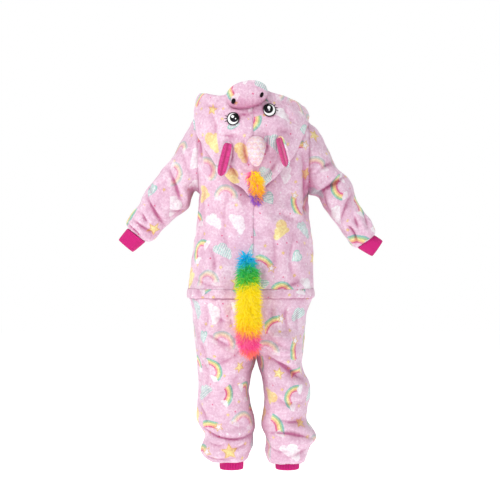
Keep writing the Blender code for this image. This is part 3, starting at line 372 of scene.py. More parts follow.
def disc(f, x, y, cx, cy, radius, soft=0.8):
    return f.clamp((radius - distance(f, x, y, cx, cy)) / soft + 0.5)


def union(f, *masks):
    whole = masks[0]
    for mask in masks[1:]:
        whole = f.sum("MAXIMUM", whole, mask)
    return whole


def cloud(f, x, y, cx, cy, size):
    whole = union(f, *[disc(f, x, y, cx + u * size, cy + v * size, r * size) for u, v, r in PUFFS])
    return whole * f.clamp(y - (cy - 0.42 * size) + 0.5)


def star_depth(f, x, y, radius, pinch=0.45):
    """How deep a point lies in a five-pointed star, in millimetres."""
    fifth = 2 * math.pi / 5
    folded = f.sum("PINGPONG", f.sum("ARCTAN2", y, x) + 10 * fifth, fifth / 2)
    length = distance(f, x, y)
    tip, notch = Vector((radius, 0)), Vector((math.cos(fifth / 2), math.sin(fifth / 2))) * radius * pinch
    edge = (notch - tip).normalized()
    normal = Vector((edge.y, -edge.x))
    reach = normal.dot(tip)
    normal *= 1 if reach > 0 else -1
    across = f.sum("COSINE", folded) * length * normal.x + f.sum("SINE", folded) * length * normal.y
    return abs(reach) - across


def heart_depth(f, x, y, size):
    side = f.sum("ABSOLUTE", x) / size
    lift = y / size - f.sum("SQRT", side) * 0.75
    return (1 - f.sum("SQRT", side * side + lift * lift)) * size


def rainbow(f, x, y, cx, cy, inner, outer):
    """Colour and cover of a band of rainbow round a centre."""
    away = distance(f, x, y, cx, cy)
    across = (away - inner) / (outer - inner)
    names = ("rose", "orange", "yellow", "green", "sea")
    stops = [(index / len(names), INK[name]) for index, name in enumerate(names)]
    colour = f.add("ShaderNodeValToRGB", {"stops": stops, "interpolation": "CONSTANT"}, Fac=across)
    cover = f.clamp(away - inner + 0.5) * f.clamp(outer - away + 0.5)
    return colour, cover


def draw_print(f, uv, ground):
    """The whole print over a ground colour, from flat coordinates in metres."""
    u, v, _ = f.split(f.add("ShaderNodeVectorMath", {"operation": "SCALE"}, s0=uv, Scale=1000.0))
    u, v = u + (f.noise(uv, 420.0, 1.0) - 0.5) * 3.0, v + (f.noise(uv, 380.0, 1.0) - 0.5) * 3.0

    def cell(size, seed, nudge):
        """Random values and place in the cell, in rows laid like bricks."""
        row = f.sum("FLOOR", v / size)
        along = u / size + f.sum("MODULO", row + 100.0, 2.0) * 0.5
        column = f.sum("FLOOR", along)
        pick = f.add("ShaderNodeTexWhiteNoise", Vector=f.join(column, row, seed), output=1)
        a, b, c = f.split(pick)
        x = (along - column - 0.5) * size - (b - 0.5) * nudge
        y = (v / size - row - 0.5) * size - (c - 0.5) * nudge
        return a, c, x, y

    a, c, x, y = cell(MOTIF_CELL, 3.0, 12.0)
    turn = (c * 7.13 - f.sum("FLOOR", c * 7.13) - 0.5) * 2.6
    cos, sin = f.sum("COSINE", turn), f.sum("SINE", turn)
    x, y = (x * cos + y * sin) / MOTIF_SIZE, (y * cos - x * sin) / MOTIF_SIZE
    kind = f.sum("FLOOR", a * 8.999)

    def is_kind(index):
        return f.sum("COMPARE", kind, float(index), 0.3)

    # specks first, so that the larger motifs lie over them
    pick, _, sx, sy = cell(SPECK_CELL, 11.0, 9.0)
    clear = distance(f, x, y) > 23.0
    speck = star_depth(f, sx, sy, 7.0)
    is_star = (pick < 0.34) * clear
    dot = disc(f, sx, sy, 0.0, 0.0, 2.2) * (pick > 0.62) * clear
    first_two = f.clamp(1.5 - kind)
    arch, arch_at = rainbow(f, x, y, 0.0, -9.0, 12.0, 25.0)
    ends = union(f, cloud(f, x, y, -18.0, -11.0, 10.0), cloud(f, x, y, 18.0, -11.0, 10.0))
    puff = cloud(f, x, y, 0.0, 0.0, 20.0)
    hatched = f.mix(f.clamp(f.sum("SINE", (x + y) * 1.5) * 2 + 0.6), INK["white"], INK["mint"])
    star = star_depth(f, x, y, 15.0)
    trail, trail_at = rainbow(f, x, y, 8.0, -32.0, 24.0, 37.0)
    comet = star_depth(f, x - 12.0, y + 2.0, 11.0)
    heart = heart_depth(f, x, y, 11.0)
    quarter, quarter_at = rainbow(f, x, y, -14.0, -14.0, 16.0, 32.0)
    layers = (
        (f.clamp(speck) * is_star, INK["gold"]),
        (f.clamp(speck - 0.9) * is_star, INK["yellow"]),
        (dot, f.mix(pick > 0.8, INK["white"], INK["rose"])),
        # 0 and 1: a rainbow that ends in two clouds
        (arch_at * f.clamp(y + 9.5) * first_two, arch),
        (ends * first_two, INK["white"]),
        # 2: a white cloud, 3: a cloud hatched in mint, 4: a yellow cloud over a small sun
        (puff * is_kind(2), INK["white"]),
        (puff * is_kind(3), hatched),
        (disc(f, x, y, 6.0, 7.0, 11.0) * is_kind(4), INK["sun"]),
        (cloud(f, x, y, -2.0, -3.0, 17.0) * is_kind(4), INK["yellow"]),
        # 5: a large outlined star, 6: a comet
        (f.clamp(star) * is_kind(5), INK["gold"]),
        (f.clamp(star - 1.4) * is_kind(5), INK["yellow"]),
        (trail_at * f.clamp(x + 21.0) * f.clamp(9.0 - x) * is_kind(6), trail),
        (f.clamp(comet) * is_kind(6), INK["gold"]),
        (f.clamp(comet - 1.2) * is_kind(6), INK["white"]),
        # 7: a mint heart, 8: a quarter rainbow
        (f.clamp(heart) * is_kind(7), INK["mint"]),
        (f.clamp(heart - 2.0) * is_kind(7), hatched),
        (quarter_at * f.clamp(x + 14.5) * f.clamp(y + 14.5) * is_kind(8), quarter),
        (cloud(f, x, y, 10.0, -15.0, 9.0) * is_kind(8), INK["white"]),
    )
    colour = ground
    for cover, ink in layers:
        colour = f.mix(cover, colour, ink)
    return colour


# %% Brushed fleece with the print
def fleece(name, uv=None, draw=draw_print, ground=PINK):
    """Short brushed pile: soft patches where it lies over, and tufts of one or two millimetres."""
    f = Finish(name, ground, roughness=0.92, sheen=0.3)
    here = f.place()
    colour = draw(f, f.place(uv=uv) if uv else here, ground)
    tufts, curls = f.noise(here, 560.0, 3.0, 0.65), f.noise(here, 170.0, 2.0, 0.6)
    patches = f.noise(here, 30.0, 2.0)
    lie = f.clamp((tufts - 0.5) * 1.0 + (curls - 0.5) * 1.7 + (patches - 0.5) * 1.2 + 0.6)
    colour = f.mix(0.8, colour, f.mix(lie, srgb(222, 188, 206), (1, 1, 1)), "MULTIPLY")
    colour = f.mix(f.clamp(lie - 0.66) * 0.8, colour, srgb(255, 246, 251))
    # painted shade: a deep pink, multiplied in where the number kept on the points says the cloth is pressed
    # in, at a seam or closed in
    colour = f.mix(f.clamp(f.noted("valley")), colour, srgb(198, 96, 152), "MULTIPLY")
    return f.wear(Base_Color=colour, Normal=f.bump(tufts, 0.0016, 0.7, f.bump(curls, 0.004, 0.6)))


printed = fleece("print_fleece", uv="cut")
print("print:", len(printed.node_tree.nodes), "nodes")

# %% [markdown]
# ## From solids to cloth
# Each solid is a wall with an outer skin, an inner skin and cut edges. Only the outer skin is wanted
# here: its triangles are joined to quads, unwrapped flat as a pattern cutter would lay them, smoothed,
# creased, and given their thickness again. A ray sent into the wall from each face tells skin from
# edge, because it meets the other side after one thickness.

# %% The outer skin of a solid
THROUGH_WALL = 0.006  # the longest way through a wall, in metres
FLAP_WIDTH = 0.0037  # narrower faces at an open edge belong to the edge


def islands(bm, sharpest):
    """Groups of faces that hang together without turning a corner."""
    left, groups = set(bm.faces), []
    while left:
        group, front = set(), [left.pop()]
        while front:
            face = front.pop()
            group.add(face)
            for edge in face.edges:
                for other in edge.link_faces:
                    if other in left and other.normal.dot(face.normal) > sharpest:
                        left.discard(other)
                        front.append(other)
        groups.append(group)
    return groups


def whole_copy(name):
    """A copy of a solid with its loose triangles merged."""
    bm = bmesh.new()
    bm.from_mesh(nodes[name].data)
    bmesh.ops.remove_doubles(bm, verts=bm.verts, dist=1e-5)
    return bm


def outer_skin(name):
    bm = whole_copy(name)
    tree = BVHTree.FromBMesh(bm)
    rim = []
    for face in bm.faces:
        middle = face.calc_center_median()
        _, facing, _, depth = tree.ray_cast(middle - face.normal * 1e-4, -face.normal)
        if depth is None or depth > THROUGH_WALL or facing.dot(face.normal) > -0.75:
            rim.append(face)
    bmesh.ops.delete(bm, geom=rim, context="FACES")
    groups = sorted(islands(bm, 0.25), key=lambda group: sum(face.calc_area() for face in group))
    print(f"{name}: skins of {[len(group) for group in groups]} triangles")
    bmesh.ops.delete(bm, geom=[face for group in groups[:-1] for face in group], context="FACES")
    bmesh.ops.delete(bm, geom=[vert for vert in bm.verts if not vert.link_faces], context="VERTS")
    if "hood" not in name:
        flaps = [face for face in bm.faces if any(len(vert.link_faces) < 3 for vert in face.verts)
                 and min(edge.calc_length() for edge in face.edges) < FLAP_WIDTH]
        bmesh.ops.delete(bm, geom=flaps, context="FACES")
    bmesh.ops.join_triangles(bm, faces=bm.faces, angle_face_threshold=1.2, angle_shape_threshold=1.2)
    return bm


# %% [markdown]
# A tube such as a sleeve needs a cut before it lies flat. The cut is the underarm seam: the shortest
# way along the edges from the armhole to the wrist, where an edge costs more the farther it lies from
# the underarm. The unwrapper then gives each piece's flat pattern, which is scaled back to real size.


# %% Underarm seam and flat patterns
def mark_underarm(bm, side):
    """Marks the cheapest way between the two open ends as a seam."""
    ends = [vert for vert in bm.verts if vert.is_boundary]
    top = sum((vert.co for vert in bm.verts), Vector()) / len(bm.verts)
    down = Vector((-side * 0.62, 0, -0.78))
    armhole = [vert for vert in ends if (vert.co - top).dot(Vector((side * 0.78, 0, -0.62))) < 0]
    wrist = [vert for vert in ends if vert not in armhole]
    start = max(armhole, key=lambda vert: (vert.co - top).dot(down))
    cost, before, front = {start: 0.0}, {}, [start]
    while front:
        vert = min(front, key=cost.get)
        front.remove(vert)
        if vert in wrist:
            break
        for edge in vert.link_edges:
            other = edge.other_vert(vert)
            away = 0.16 - (other.co - top).dot(down) + 3 * abs(other.co.y)
            price = cost[vert] + edge.calc_length() * max(away, 0.01) ** 2
            if price < cost.get(other, 1e9):
                cost[other], before[other] = price, edge
                if other not in front:
                    front.append(other)
    while vert is not start:
        before[vert].seam = True
        vert = before[vert].other_vert(vert)


def lay_flat(thing, shift):
    """Unwraps a piece and scales its pattern to metres, upright; returns its width, length and area."""
    bpy.context.view_layer.objects.active = thing
    thing.select_set(True)
    bpy.ops.object.mode_set(mode="EDIT")
    bpy.ops.mesh.select_all(action="SELECT")
    bpy.ops.uv.unwrap(method="ANGLE_BASED", margin=0.0)
    bpy.ops.object.mode_set(mode="OBJECT")
    thing.select_set(False)
    mesh = thing.data
    mesh.uv_layers[0].name = "cut"
    flat = np.empty(len(mesh.loops) * 2)
    mesh.uv_layers[0].data.foreach_get("uv", flat)
    flat = flat.reshape(-1, 2)
    corner = np.empty(len(mesh.loops), int)
    mesh.loops.foreach_get("vertex_index", corner)
    height = points_of(mesh)[corner, 2]
    flat -= flat.mean(axis=0)
    climb = np.linalg.lstsq(flat, height - height.mean(), rcond=None)[0]
    turn = math.atan2(climb[0], climb[1])
    flat = flat @ np.array([[math.cos(turn), math.sin(turn)], [-math.sin(turn), math.cos(turn)]])
    area_flat = sum(abs(sum(a[0] * b[1] - a[1] * b[0] for a, b in zip(loop, np.roll(loop, -1, axis=0)))) / 2
                    for loop in (flat[list(face.loop_indices)] for face in mesh.polygons))
    area = sum(face.area for face in mesh.polygons)
    flat = (flat - flat.min(axis=0)) * math.sqrt(area / area_flat)
    mesh.uv_layers[0].data.foreach_set("uv", (flat + shift).ravel())
    return (*flat.max(axis=0), area)


# %% [markdown]
# ## Creases
# Worn fleece falls in soft rolls: it bunches above the cuffs and at the elbows and knees, hangs in
# long folds from the shoulders and pulls in at the seat seam. Each crease is one row of a table, a
# bent line on the front or the back with a width and a depth, and it sinks as a trough with a soft
# bank on one side. The rows were placed on the photograph and repeated, changed a little, on
# the sides that it hides.

# %% The table of creases
BACK, FRONT = -1, 1


def crease_rows(face, text):
    """Rows of x1 drop1 x2 drop2 x3 drop3 width depth bank, in millimetres, for one face of the garment."""
    return [[face, *map(float, row.split())] for row in text.strip().splitlines()]


# back, under the hood and down the sides
creases = crease_rows(BACK, """
134 322 136 240 128 150 12 6 4.5
-132 104 -130 142 -126 186 7 4.5 3
124 286 134 288 146 284 6 3 2
62 292 96 318 130 330 9 3 2
-140 372 -130 300 -116 206 9 4 3.5
-60 250 -72 330 -62 400 13 3 2
44 330 58 400 52 462 13 3 2
-112 380 -96 430 -104 478 10 3.5 2
112 352 96 420 110 474 10 3.5 2.5
-24 400 -30 450 -26 486 8 2.5 2
20 420 26 456 22 490 8 2.5 2
-150 466 -110 486 -60 490 8 3.5 2.5
150 462 108 484 62 492 8 3.5 2.5
""")
# seat, under the band
creases += crease_rows(BACK, """
-120 536 -112 566 -118 596 8 3 2
-84 534 -78 560 -82 590 7 3 2
-50 536 -54 566 -46 600 8 3 2
54 536 50 562 56 594 8 3 2
90 534 84 566 92 598 8 3.5 2
122 540 114 572 116 604 8 3 2
-20 640 -52 672 -96 688 9 4 3
24 640 60 662 104 668 9 4 3
""")
# thighs and knees
creases += crease_rows(BACK, """
-112 565 -80 573 -42 585 8 3.5 2.5
-116 606 -80 628 -42 648 9 5 3.5
-144 602 -119 675 -114 775 12 3 2
-140 784 -125 812 -110 842 11 4.5 3
-26 700 -48 752 -34 806 12 2.5 2
28 662 84 693 134 732 9 7 5
40 610 74 640 112 652 10 3 2.5
60 772 96 790 142 782 10 3.5 2.5
""")
# bunched legs above the cuffs
creases += crease_rows(BACK, """
-142 846 -62 878 8 866 8 6.5 5
-118 884 -92 896 -56 890 7 3.5 2.5
-66 908 -34 902 -8 890 7 3.5 2.5
-128 924 -84 934 -30 922 7 4 3
36 868 102 864 174 888 8 6.5 5
60 826 104 838 148 824 8 3.5 2.5
40 896 66 912 96 908 7 3.5 2.5
154 900 122 918 88 932 8 4 3
""")
# sleeves, back
creases += crease_rows(BACK, """
-216 183 -197 229 -177 284 8 6.5 5
-273 256 -250 299 -222 337 8 6.5 4.5
-266 222 -262 240 -260 258 7 3 2.5
-288 294 -276 318 -262 344 7 6 4.5
-308 318 -283 338 -252 356 7 7 5
-326 326 -308 344 -284 366 6 5.5 4
-212 296 -190 299 -166 288 7 4 3.5
-184 136 -172 170 -158 206 9 3.5 2.5
168 252 204 230 246 203 8 7 5
160 205 186 184 214 171 8 5 3.5
224 332 239 288 262 250 8 5 4
186 252 192 286 220 326 7 4.5 3
240 332 262 352 270 382 7 6 4.5
262 306 270 330 278 356 7 5 4
284 296 296 320 300 350 7 5 4
""")
# front
creases += crease_rows(FRONT, """
-104 170 -112 240 -104 300 12 4 3
104 176 110 244 102 310 12 4 3
-54 260 -66 360 -58 440 14 3 2
56 280 64 370 60 450 14 3 2
-96 420 -110 480 -104 540 11 4 3
98 424 112 484 104 546 11 4 3
-16 560 -54 590 -92 600 10 4 3
16 566 56 596 96 606 10 4 3
-20 660 -56 680 -104 676 10 4 3
22 664 60 684 104 682 10 4 3
-128 740 -84 752 -34 746 10 4 3
40 752 84 762 140 752 10 4 3
-130 816 -84 826 -28 818 9 4 3
40 818 84 828 144 820 9 4 3
-128 876 -80 884 -26 876 8 5 3.5
40 880 92 888 148 878 8 5 3.5
-120 912 -76 918 -30 908 7 4 3
48 912 94 920 140 912 7 4 3
232 206 212 240 190 262 8 4.5 3
270 266 246 292 222 318 7 4 3
292 300 268 322 244 340 7 4 3
-234 204 -212 244 -190 270 8 4.5 3
-272 256 -246 284 -218 314 7 4 3
-304 298 -276 320 -246 344 7 4 3
""")
CREASES = np.array(creases)
HOOD_CREASES = np.array(crease_rows(BACK, """
-20 128 -17 160 -8 194 9 5.5 3
36 112 38 132 34 156 7 4 2.5
-70 64 -20 62 34 48 7 4 2
-86 110 -58 116 -30 112 9 4 3
52 96 74 104 96 100 8 4 3
-104 60 -92 88 -96 120 9 4 3
82 40 92 66 110 84 9 3.5 2.5
-62 176 -48 200 -30 222 8 4 3
66 168 50 196 28 220 8 4 3
-118 30 -100 40 -76 38 9 3.5 2.5
60 26 90 30 120 42 9 3 2
"""))
print("creases:", len(CREASES), "and on the hood", len(HOOD_CREASES))


# %% Pressing the creases
CREASE_REACH = 130  # millimetres from a crease's middle, past which it moves nothing


def press_creases(places, normals, table):
    """How far each point moves along its normal, in metres."""
    seen = places[:, [0, 2]] * 1000
    offset = np.zeros(len(places))
    steps = np.linspace(0, 1, 9)[:, None]
    for face, x1, d1, x2, d2, x3, d3, width, depth, bank in table:
        bend = np.array(((x1, -d1), (x2, -d2), (x3, -d3)))
        middle = 2 * bend[1] - (bend[0] + bend[2]) / 2
        line = bend[0] * (1 - steps) ** 2 + middle * 2 * steps * (1 - steps) + bend[2] * steps ** 2
        near = np.where((face * places[:, 1] > 0) & (np.abs(seen - bend[1]).max(axis=1) < CREASE_REACH))[0]
        if not len(near):
            continue
        spot = seen[near]
        best, across, along = np.full(len(near), 1e9), np.zeros(len(near)), np.zeros(len(near))
        for index in range(8):
            run = line[index + 1] - line[index]
            away = spot - line[index]
            part = np.clip(away @ run / (run @ run), 0, 1)
            away = away - part[:, None] * run
            far = np.hypot(*away.T)
            closer = far < best
            side = np.sign(run[0] * away[:, 1] - run[1] * away[:, 0])
            best = np.where(closer, far, best)
            across = np.where(closer, far * side, across)
            along = np.where(closer, (index + part) / 8, along)
        reach = across / (width * (0.75 + 0.5 * along))
        taper = np.sin(math.pi * np.clip(0.04 + 0.92 * along, 0, 1)) ** 0.8
        press = -depth * np.exp(-1.5 * np.abs(reach)) + bank * np.exp(-((reach - 1.5) / 1.1) ** 2)
        offset[near] += press * taper * np.minimum(1, np.abs(normals[near, 1]) * 1.8)
    return offset / 1000


def soft_lumps(places, size, seed):
    """Gentle unevenness of hanging cloth: a few waves in mixed directions, from -1 to 1."""
    rng = np.random.default_rng(seed)
    total = np.zeros(len(places))
    for _ in range(7):
        way = rng.normal(size=3)
        way *= 2 * math.pi / (size * rng.uniform(0.7, 1.5)) / np.linalg.norm(way)
        total += np.sin(places @ way + rng.uniform(0, 6.3))
    return total / 3


# %% [markdown]
# ## Sewing it together
# Neighbouring solids keep a hair's breadth between them. The open edges of two skins that share a seam
# are first pulled onto one line, so that the smoothed pieces meet. A front was packed as two solids,
# above and below the waist, and is one cut piece, so its two skins are joined.

# %% The cut pieces and their seams
# metres: open edges nearer than this belong together, at a front's waist, at a seam before the
# smoothing, and at a seam after it
WAIST_REACH, RIM_REACH, SEAM_REACH = 0.0008, 0.0014, 0.0006


def solids_of(name):
    """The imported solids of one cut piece: a front has two, the others one."""
    return (name, "trouser_" + name) if name.startswith("front") else (name,)


def cut_piece(name):
    bm = outer_skin(name)
    for lower in solids_of(name)[1:]:
        spare = bpy.data.meshes.new("spare")
        part = outer_skin(lower)
        part.to_mesh(spare)
        part.free()
        bm.from_mesh(spare)
        bpy.data.meshes.remove(spare)
        bmesh.ops.remove_doubles(bm, verts=[vert for vert in bm.verts if vert.is_boundary],
                                  dist=WAIST_REACH)
    return bm


SIDES_OF_BODY = ("left", "right")
PIECES = [f"{piece}_{side}" for piece in ("back", "trouser_back", "front", "sleeve", "hood")
          for side in SIDES_OF_BODY]
skins = {name: cut_piece(name) for name in PIECES}
rims = [vert for bm in skins.values() for vert in bm.verts if vert.is_boundary]
tree = finder([vert.co for vert in rims])
goals = []
for vert in rims:
    near = [rims[index].co for _, index, _ in tree.find_range(vert.co, RIM_REACH)]
    goals.append(sum(near, Vector()) / len(near))
for goal, vert in zip(goals, rims):
    vert.co = goal
print("seam points pulled together:", len(rims))

# %% [markdown]
# ## Rounded shoulders of the hood
# The thrown-back hood stands up a little beside the neck and falls off to both sides. Its solids are
# straight there, so a short table says how far the cloth rises and draws in at places across it.


# %% Rounding the top
# millimetres: places across the hood, how far each rises, and how far it draws in
TOP_ACROSS = (-175, -150, -120, -95, -70, -30, 25, 45, 80, 110, 135, 155, 185)
TOP_RISE = (6, 15, 9, 0, -8, -2, -2, -9, -8, -12, -19, -24, -8)
TOP_DRAW = (10, 10, 4, 0, 0, 0, 0, 0, 0, 0, -2, -3, 0)


def rounded_top(places):
    across, up = places[:, 0] * 1000, places[:, 2] * 1000
    share = np.clip((up + 105) / 80, 0, 1)
    share = share * share * (3 - 2 * share)
    moved = places.copy()
    moved[:, 2] += np.interp(across, TOP_ACROSS, TOP_RISE) * share / 1000
    moved[:, 0] += np.interp(across, TOP_ACROSS, TOP_DRAW) * share / 1000
    return moved


# %% [markdown]
# ## One cloth piece
# A piece is laid flat while it is still coarse, then subdivided until creases of a few millimetres fit
# in it. Along its open edges the cloth dips into the seam, with the small waves that stitches make.


# %% Sewing each piece
WALL = 0.0022
CREASE_STRENGTH = 1.2
SEAM_DIP, SEAM_WIDTH = 0.0012, 0.0035
FULL_SHADE = 0.006  # a hollow as deep as this gets the whole of the deep pink


def smoothed(thing, level):
    """The mesh after subdivision, kept as plain vertices."""
    rounder = thing.modifiers.new("smooth", "SUBSURF")
    rounder.levels = rounder.render_levels = level
    rounder.boundary_smooth = "PRESERVE_CORNERS"
    evaluated = thing.evaluated_get(bpy.context.evaluated_depsgraph_get())
    mesh = bpy.data.meshes.new_from_object(evaluated)
    thing.modifiers.clear()
    thing.data = mesh
    return mesh


def sew(name, index):
    """One printed piece, and where its points lie before and after pressing."""
    bm = skins[name]
    if "sleeve" in name:
        mark_underarm(bm, 1 if "right" in name else -1)
    thing = add_object("cloth_" + name, bm, printed)
    width, length, area = lay_flat(thing, index * 0.317)
    mesh = smoothed(thing, 3)
    put_points(mesh, rounded_top(points_of(mesh)))
    places, normals = points_of(mesh), normals_of(mesh)
    tree = finder(places[border_of(mesh)])
    edge = np.exp(-(np.array([tree.find(place)[2] for place in places]) / SEAM_WIDTH) ** 2)
    table = HOOD_CREASES if "hood" in name else CREASES
    press = press_creases(places, normals, table) * (1 - 0.6 * edge) * CREASE_STRENGTH
    rolls = soft_lumps(places, 0.055, 5) * 0.0011 + soft_lumps(places, 0.026, 9) * 0.0006
    waves = 1 + 0.35 * np.sin(places @ np.array([700.0, 500.0, 800.0]))
    offset = press + rolls - SEAM_DIP * edge * waves
    dress(thing, "print_fleece", *solids_of(name))
    min(area, 0.999 * width * length)
    print(f"  sewn: {len(mesh.polygons)} faces, cut {width:.3f} x {length:.3f} m, {area:.4f} m2")
    # the last number is painted shade for the finish: deeper where the cloth is pressed into creases and
    # rolls, and along the seams
    return dict(thing=thing, before=places, after=places + normals * offset[:, None],
                valley=np.clip(-(press + rolls * 0.5) / FULL_SHADE + 0.3 * edge, 0, 1))


cloth = {name: sew(name, index) for index, name in enumerate(PIECES)}

# %% [markdown]
# Two pieces lean different ways at a seam, so pressing them along their own normals would part them.
# The points that lay on one spot before the pressing are brought back to one spot after it.

# %% Seams drawn together again
border = [(name, spot) for name, piece in cloth.items() for spot in border_of(piece["thing"].data)]
tree = finder([cloth[name]["before"][spot] for name, spot in border])
joined = []
for name, spot in border:
    near = [border[index] for _, index, _ in tree.find_range(cloth[name]["before"][spot], SEAM_REACH)]
    joined.append(np.mean([cloth[other]["after"][place] for other, place in near], axis=0))
for (name, spot), goal in zip(border, joined):
    cloth[name]["after"][spot] = goal
for piece in cloth.values():
    put_points(piece["thing"].data, piece["after"])
print("seam points joined:", len(border))

# %% [markdown]
# ## The stuffed pieces
# The muzzle, horn and ears are small bags with a little wadding. Their solids already have the form, so
# a merged copy is subdivided until it is round. The muzzle and the ears carry the garment's print, so
# their flat coordinates are simply the place across and up. The horn is sewn of paler cloth with rows of
# small arcs. The muzzle's solid is kept low for the hood under it, and is drawn up to its full height.


# %% Stuffed pieces of the hood
MUZZLE_RISE = 1.2
SCALE_WIDE, SCALE_HIGH = 15.0, 12.0


def stuffed(name, material, slot, level=2, shift=0.0):
    """A solid's form made round."""
    bm = whole_copy(name)
    bmesh.ops.join_triangles(bm, faces=bm.faces, angle_face_threshold=0.7, angle_shape_threshold=0.9)
    layer = bm.loops.layers.uv.new("cut")
    for face in bm.faces:
        for loop in face.loops:
            loop[layer].uv = (loop.vert.co.x + shift, loop.vert.co.z + shift)
    thing = add_object("soft_" + name, bm, material)
    smoothed(thing, level)
    dress(thing, slot, name)
    print(name, "faces:", len(thing.data.polygons))
    return thing


muzzle = stuffed("muzzle", printed, "print_fleece", shift=0.11).data
places = points_of(muzzle)
foot = places[:, 2].min()
places[:, 2] = foot + (places[:, 2] - foot) * MUZZLE_RISE
put_points(muzzle, places)
# painted shade: the muzzle gets a little deep pink all over and more towards its bottom
note(muzzle, "valley", 0.06 + 0.5 * np.clip((-0.012 - places[:, 2]) / 0.03, 0, 1))


def scallops(f, here, ground):
    """Rows of small arcs, as the cloth of the horn has."""
    x, _, z = f.split(here)
    x, z = x * 1000.0, z * 1000.0
    row = f.sum("FLOOR", z / SCALE_HIGH)
    along = x / SCALE_WIDE + f.sum("MODULO", row + 100.0, 2.0) * 0.5
    aside = (along - f.sum("FLOOR", along) - 0.5) * SCALE_WIDE
    away = distance(f, aside, z - row * SCALE_HIGH - 2.0)
    outer, inner = (f.clamp(1.4 - f.sum("ABSOLUTE", away - radius)) for radius in (6.2, 3.2))
    return f.mix(inner * 0.45, f.mix(outer * 0.5, ground, INK["orange"]), INK["rose"])


pale = fleece("pale_fleece", draw=scallops, ground=srgb(250, 236, 242))
stuffed("horn", pale, "print_fleece", shift=0.43)

# %% [markdown]
# ## Ears and their linings
# An ear hangs from a wide root and ends in a round tip. Its inside is hot pink plush, folded once along
# its middle: the fold is pressed as a trough along the lining's longest way, and gets painted shade inside.


# %% Ears
EAR_TIP = 0.6  # share of the way from the middle to the tip where the rounding starts
LINING_REACH = 0.2
FOLD_WIDTH, FOLD_DEPTH = 0.0026, 0.0013


def shaped_ear(mesh):
    """Fills out an ear at its root and rounds its tip."""
    places = points_of(mesh)
    middle = places.mean(axis=0)
    ways = np.linalg.svd(places - middle, full_matrices=False)[2]
    reach, across = (places - middle) @ ways[0], (places - middle) @ ways[1]
    part = reach / np.abs(reach).max() * (1 if ways[0][2] > 0 else -1)
    tip = np.clip((-part - EAR_TIP) / (1 - EAR_TIP), 0, 1)
    wider = 1 + 0.36 * np.clip(part, 0, 1) ** 2
    places += ways[1] * (across * (wider * np.sqrt(1 - 0.9 * tip ** 2) - 1))[:, None]
    put_points(mesh, places)


def plush(name, colour, deep):
    f = Finish(name, colour, roughness=0.85, sheen=0.5)
    here = f.place()
    tufts, curls = f.noise(here, 700.0, 3.0, 0.65), f.noise(here, 220.0, 2.0)
    lie = f.clamp((tufts - 0.5) * 1.4 + (curls - 0.5) * 1.2 + 0.6)
    # painted shade: the deep colour is mixed in where the number kept on the points is high; lie mixes it in
    # at random, as the pile's own colour
    tint = f.mix(f.clamp(f.noted("valley") * 0.85), f.mix(lie, deep, colour), deep)
    return f.wear(Base_Color=tint, Normal=f.bump(lie, 0.0022, 0.7))


for side in SIDES_OF_BODY:
    shaped_ear(stuffed(f"ear_{side}", printed, "print_fleece", shift=0.23).data)
pink_plush = plush("ear_plush", srgb(242, 66, 160), srgb(170, 14, 96))
for side in SIDES_OF_BODY:
    mesh = stuffed(f"ear_lining_{side}", pink_plush, "hot_pink_plush", level=3).data
    places = points_of(mesh)
    flat = places[:, [0, 2]] - places[:, [0, 2]].mean(axis=0)
    across = flat @ np.linalg.eigh(flat.T @ flat)[1][:, 0]
    trough = np.exp(-(across / FOLD_WIDTH) ** 2)
    places = places - normals_of(mesh) * (trough * FOLD_DEPTH)[:, None]
    middle = places.mean(axis=0)
    long_way = np.linalg.svd(places - middle, full_matrices=False)[2][0]
    places = places + long_way * ((places - middle) @ long_way * LINING_REACH)[:, None]
    put_points(mesh, places)
    shaped_ear(mesh)
    # painted shade in the trough of the fold
    note(mesh, "valley", trough)

# %% [markdown]
# ## Eyes and nostrils
# The face is embroidered in dense satin stitch. Each eye is drawn by formulas round its own middle: a
# black outline, a white ground, a large dark pupil set off towards the nose, and two glints. Fine
# ridges run across it where the threads lie side by side.


# %% Embroidered face
THREAD_SHINE, THREAD_SPACING = 0.12, 0.55
BLACK, WHITE = srgb(10, 9, 12), srgb(252, 252, 253)


def thread(name, colour, roughness=0.6):
    f = Finish(name, colour, roughness=roughness)
    f.feed(f.shader.inputs["Specular IOR Level"], THREAD_SHINE)
    return f


def ridges_along(f, x):
    return f.sum("SINE", x * (2 * math.pi / THREAD_SPACING)) * 0.5 + 0.5


def eye_finish(name, centre, half, tilt, look):
    f = thread(name, srgb(250, 250, 250))
    x, _, z = f.split(f.place())
    x, z = (x - centre.x) * 1000.0, (z - centre.z) * 1000.0
    cos, sin = math.cos(math.radians(tilt)), math.sin(math.radians(tilt))
    x, z = x * cos + z * sin, z * cos - x * sin
    # pupil, its paler lower half, the large glint and the small one: x, z, radius, softness, cover, ink
    parts = ((look * 3.0, 2.0, 0.68, 0.5, 1.0, BLACK), (look * 3.4, -3.4, 0.26, 1.4, 0.3, srgb(70, 60, 84)),
             (look * 1.0 - 2.0, 5.4, 0.23, 0.5, 1.0, WHITE), (look * 3.4 + 3.0, -0.2, 0.10, 0.4, 1.0, WHITE))
    colour = WHITE
    for px, pz, radius, soft, cover, ink in parts:
        colour = f.mix(disc(f, x, z, px, pz, half[0] * radius, soft) * cover, colour, ink)
    wide, high = x / half[0], z / half[1]
    reach = f.sum("SQRT", wide * wide + high * high)
    colour = f.mix(f.clamp((reach - 0.78) * 14.0), colour, BLACK)
    return f.wear(Base_Color=colour, Normal=f.bump(ridges_along(f, x + z * 0.35), 0.0003, 0.6))


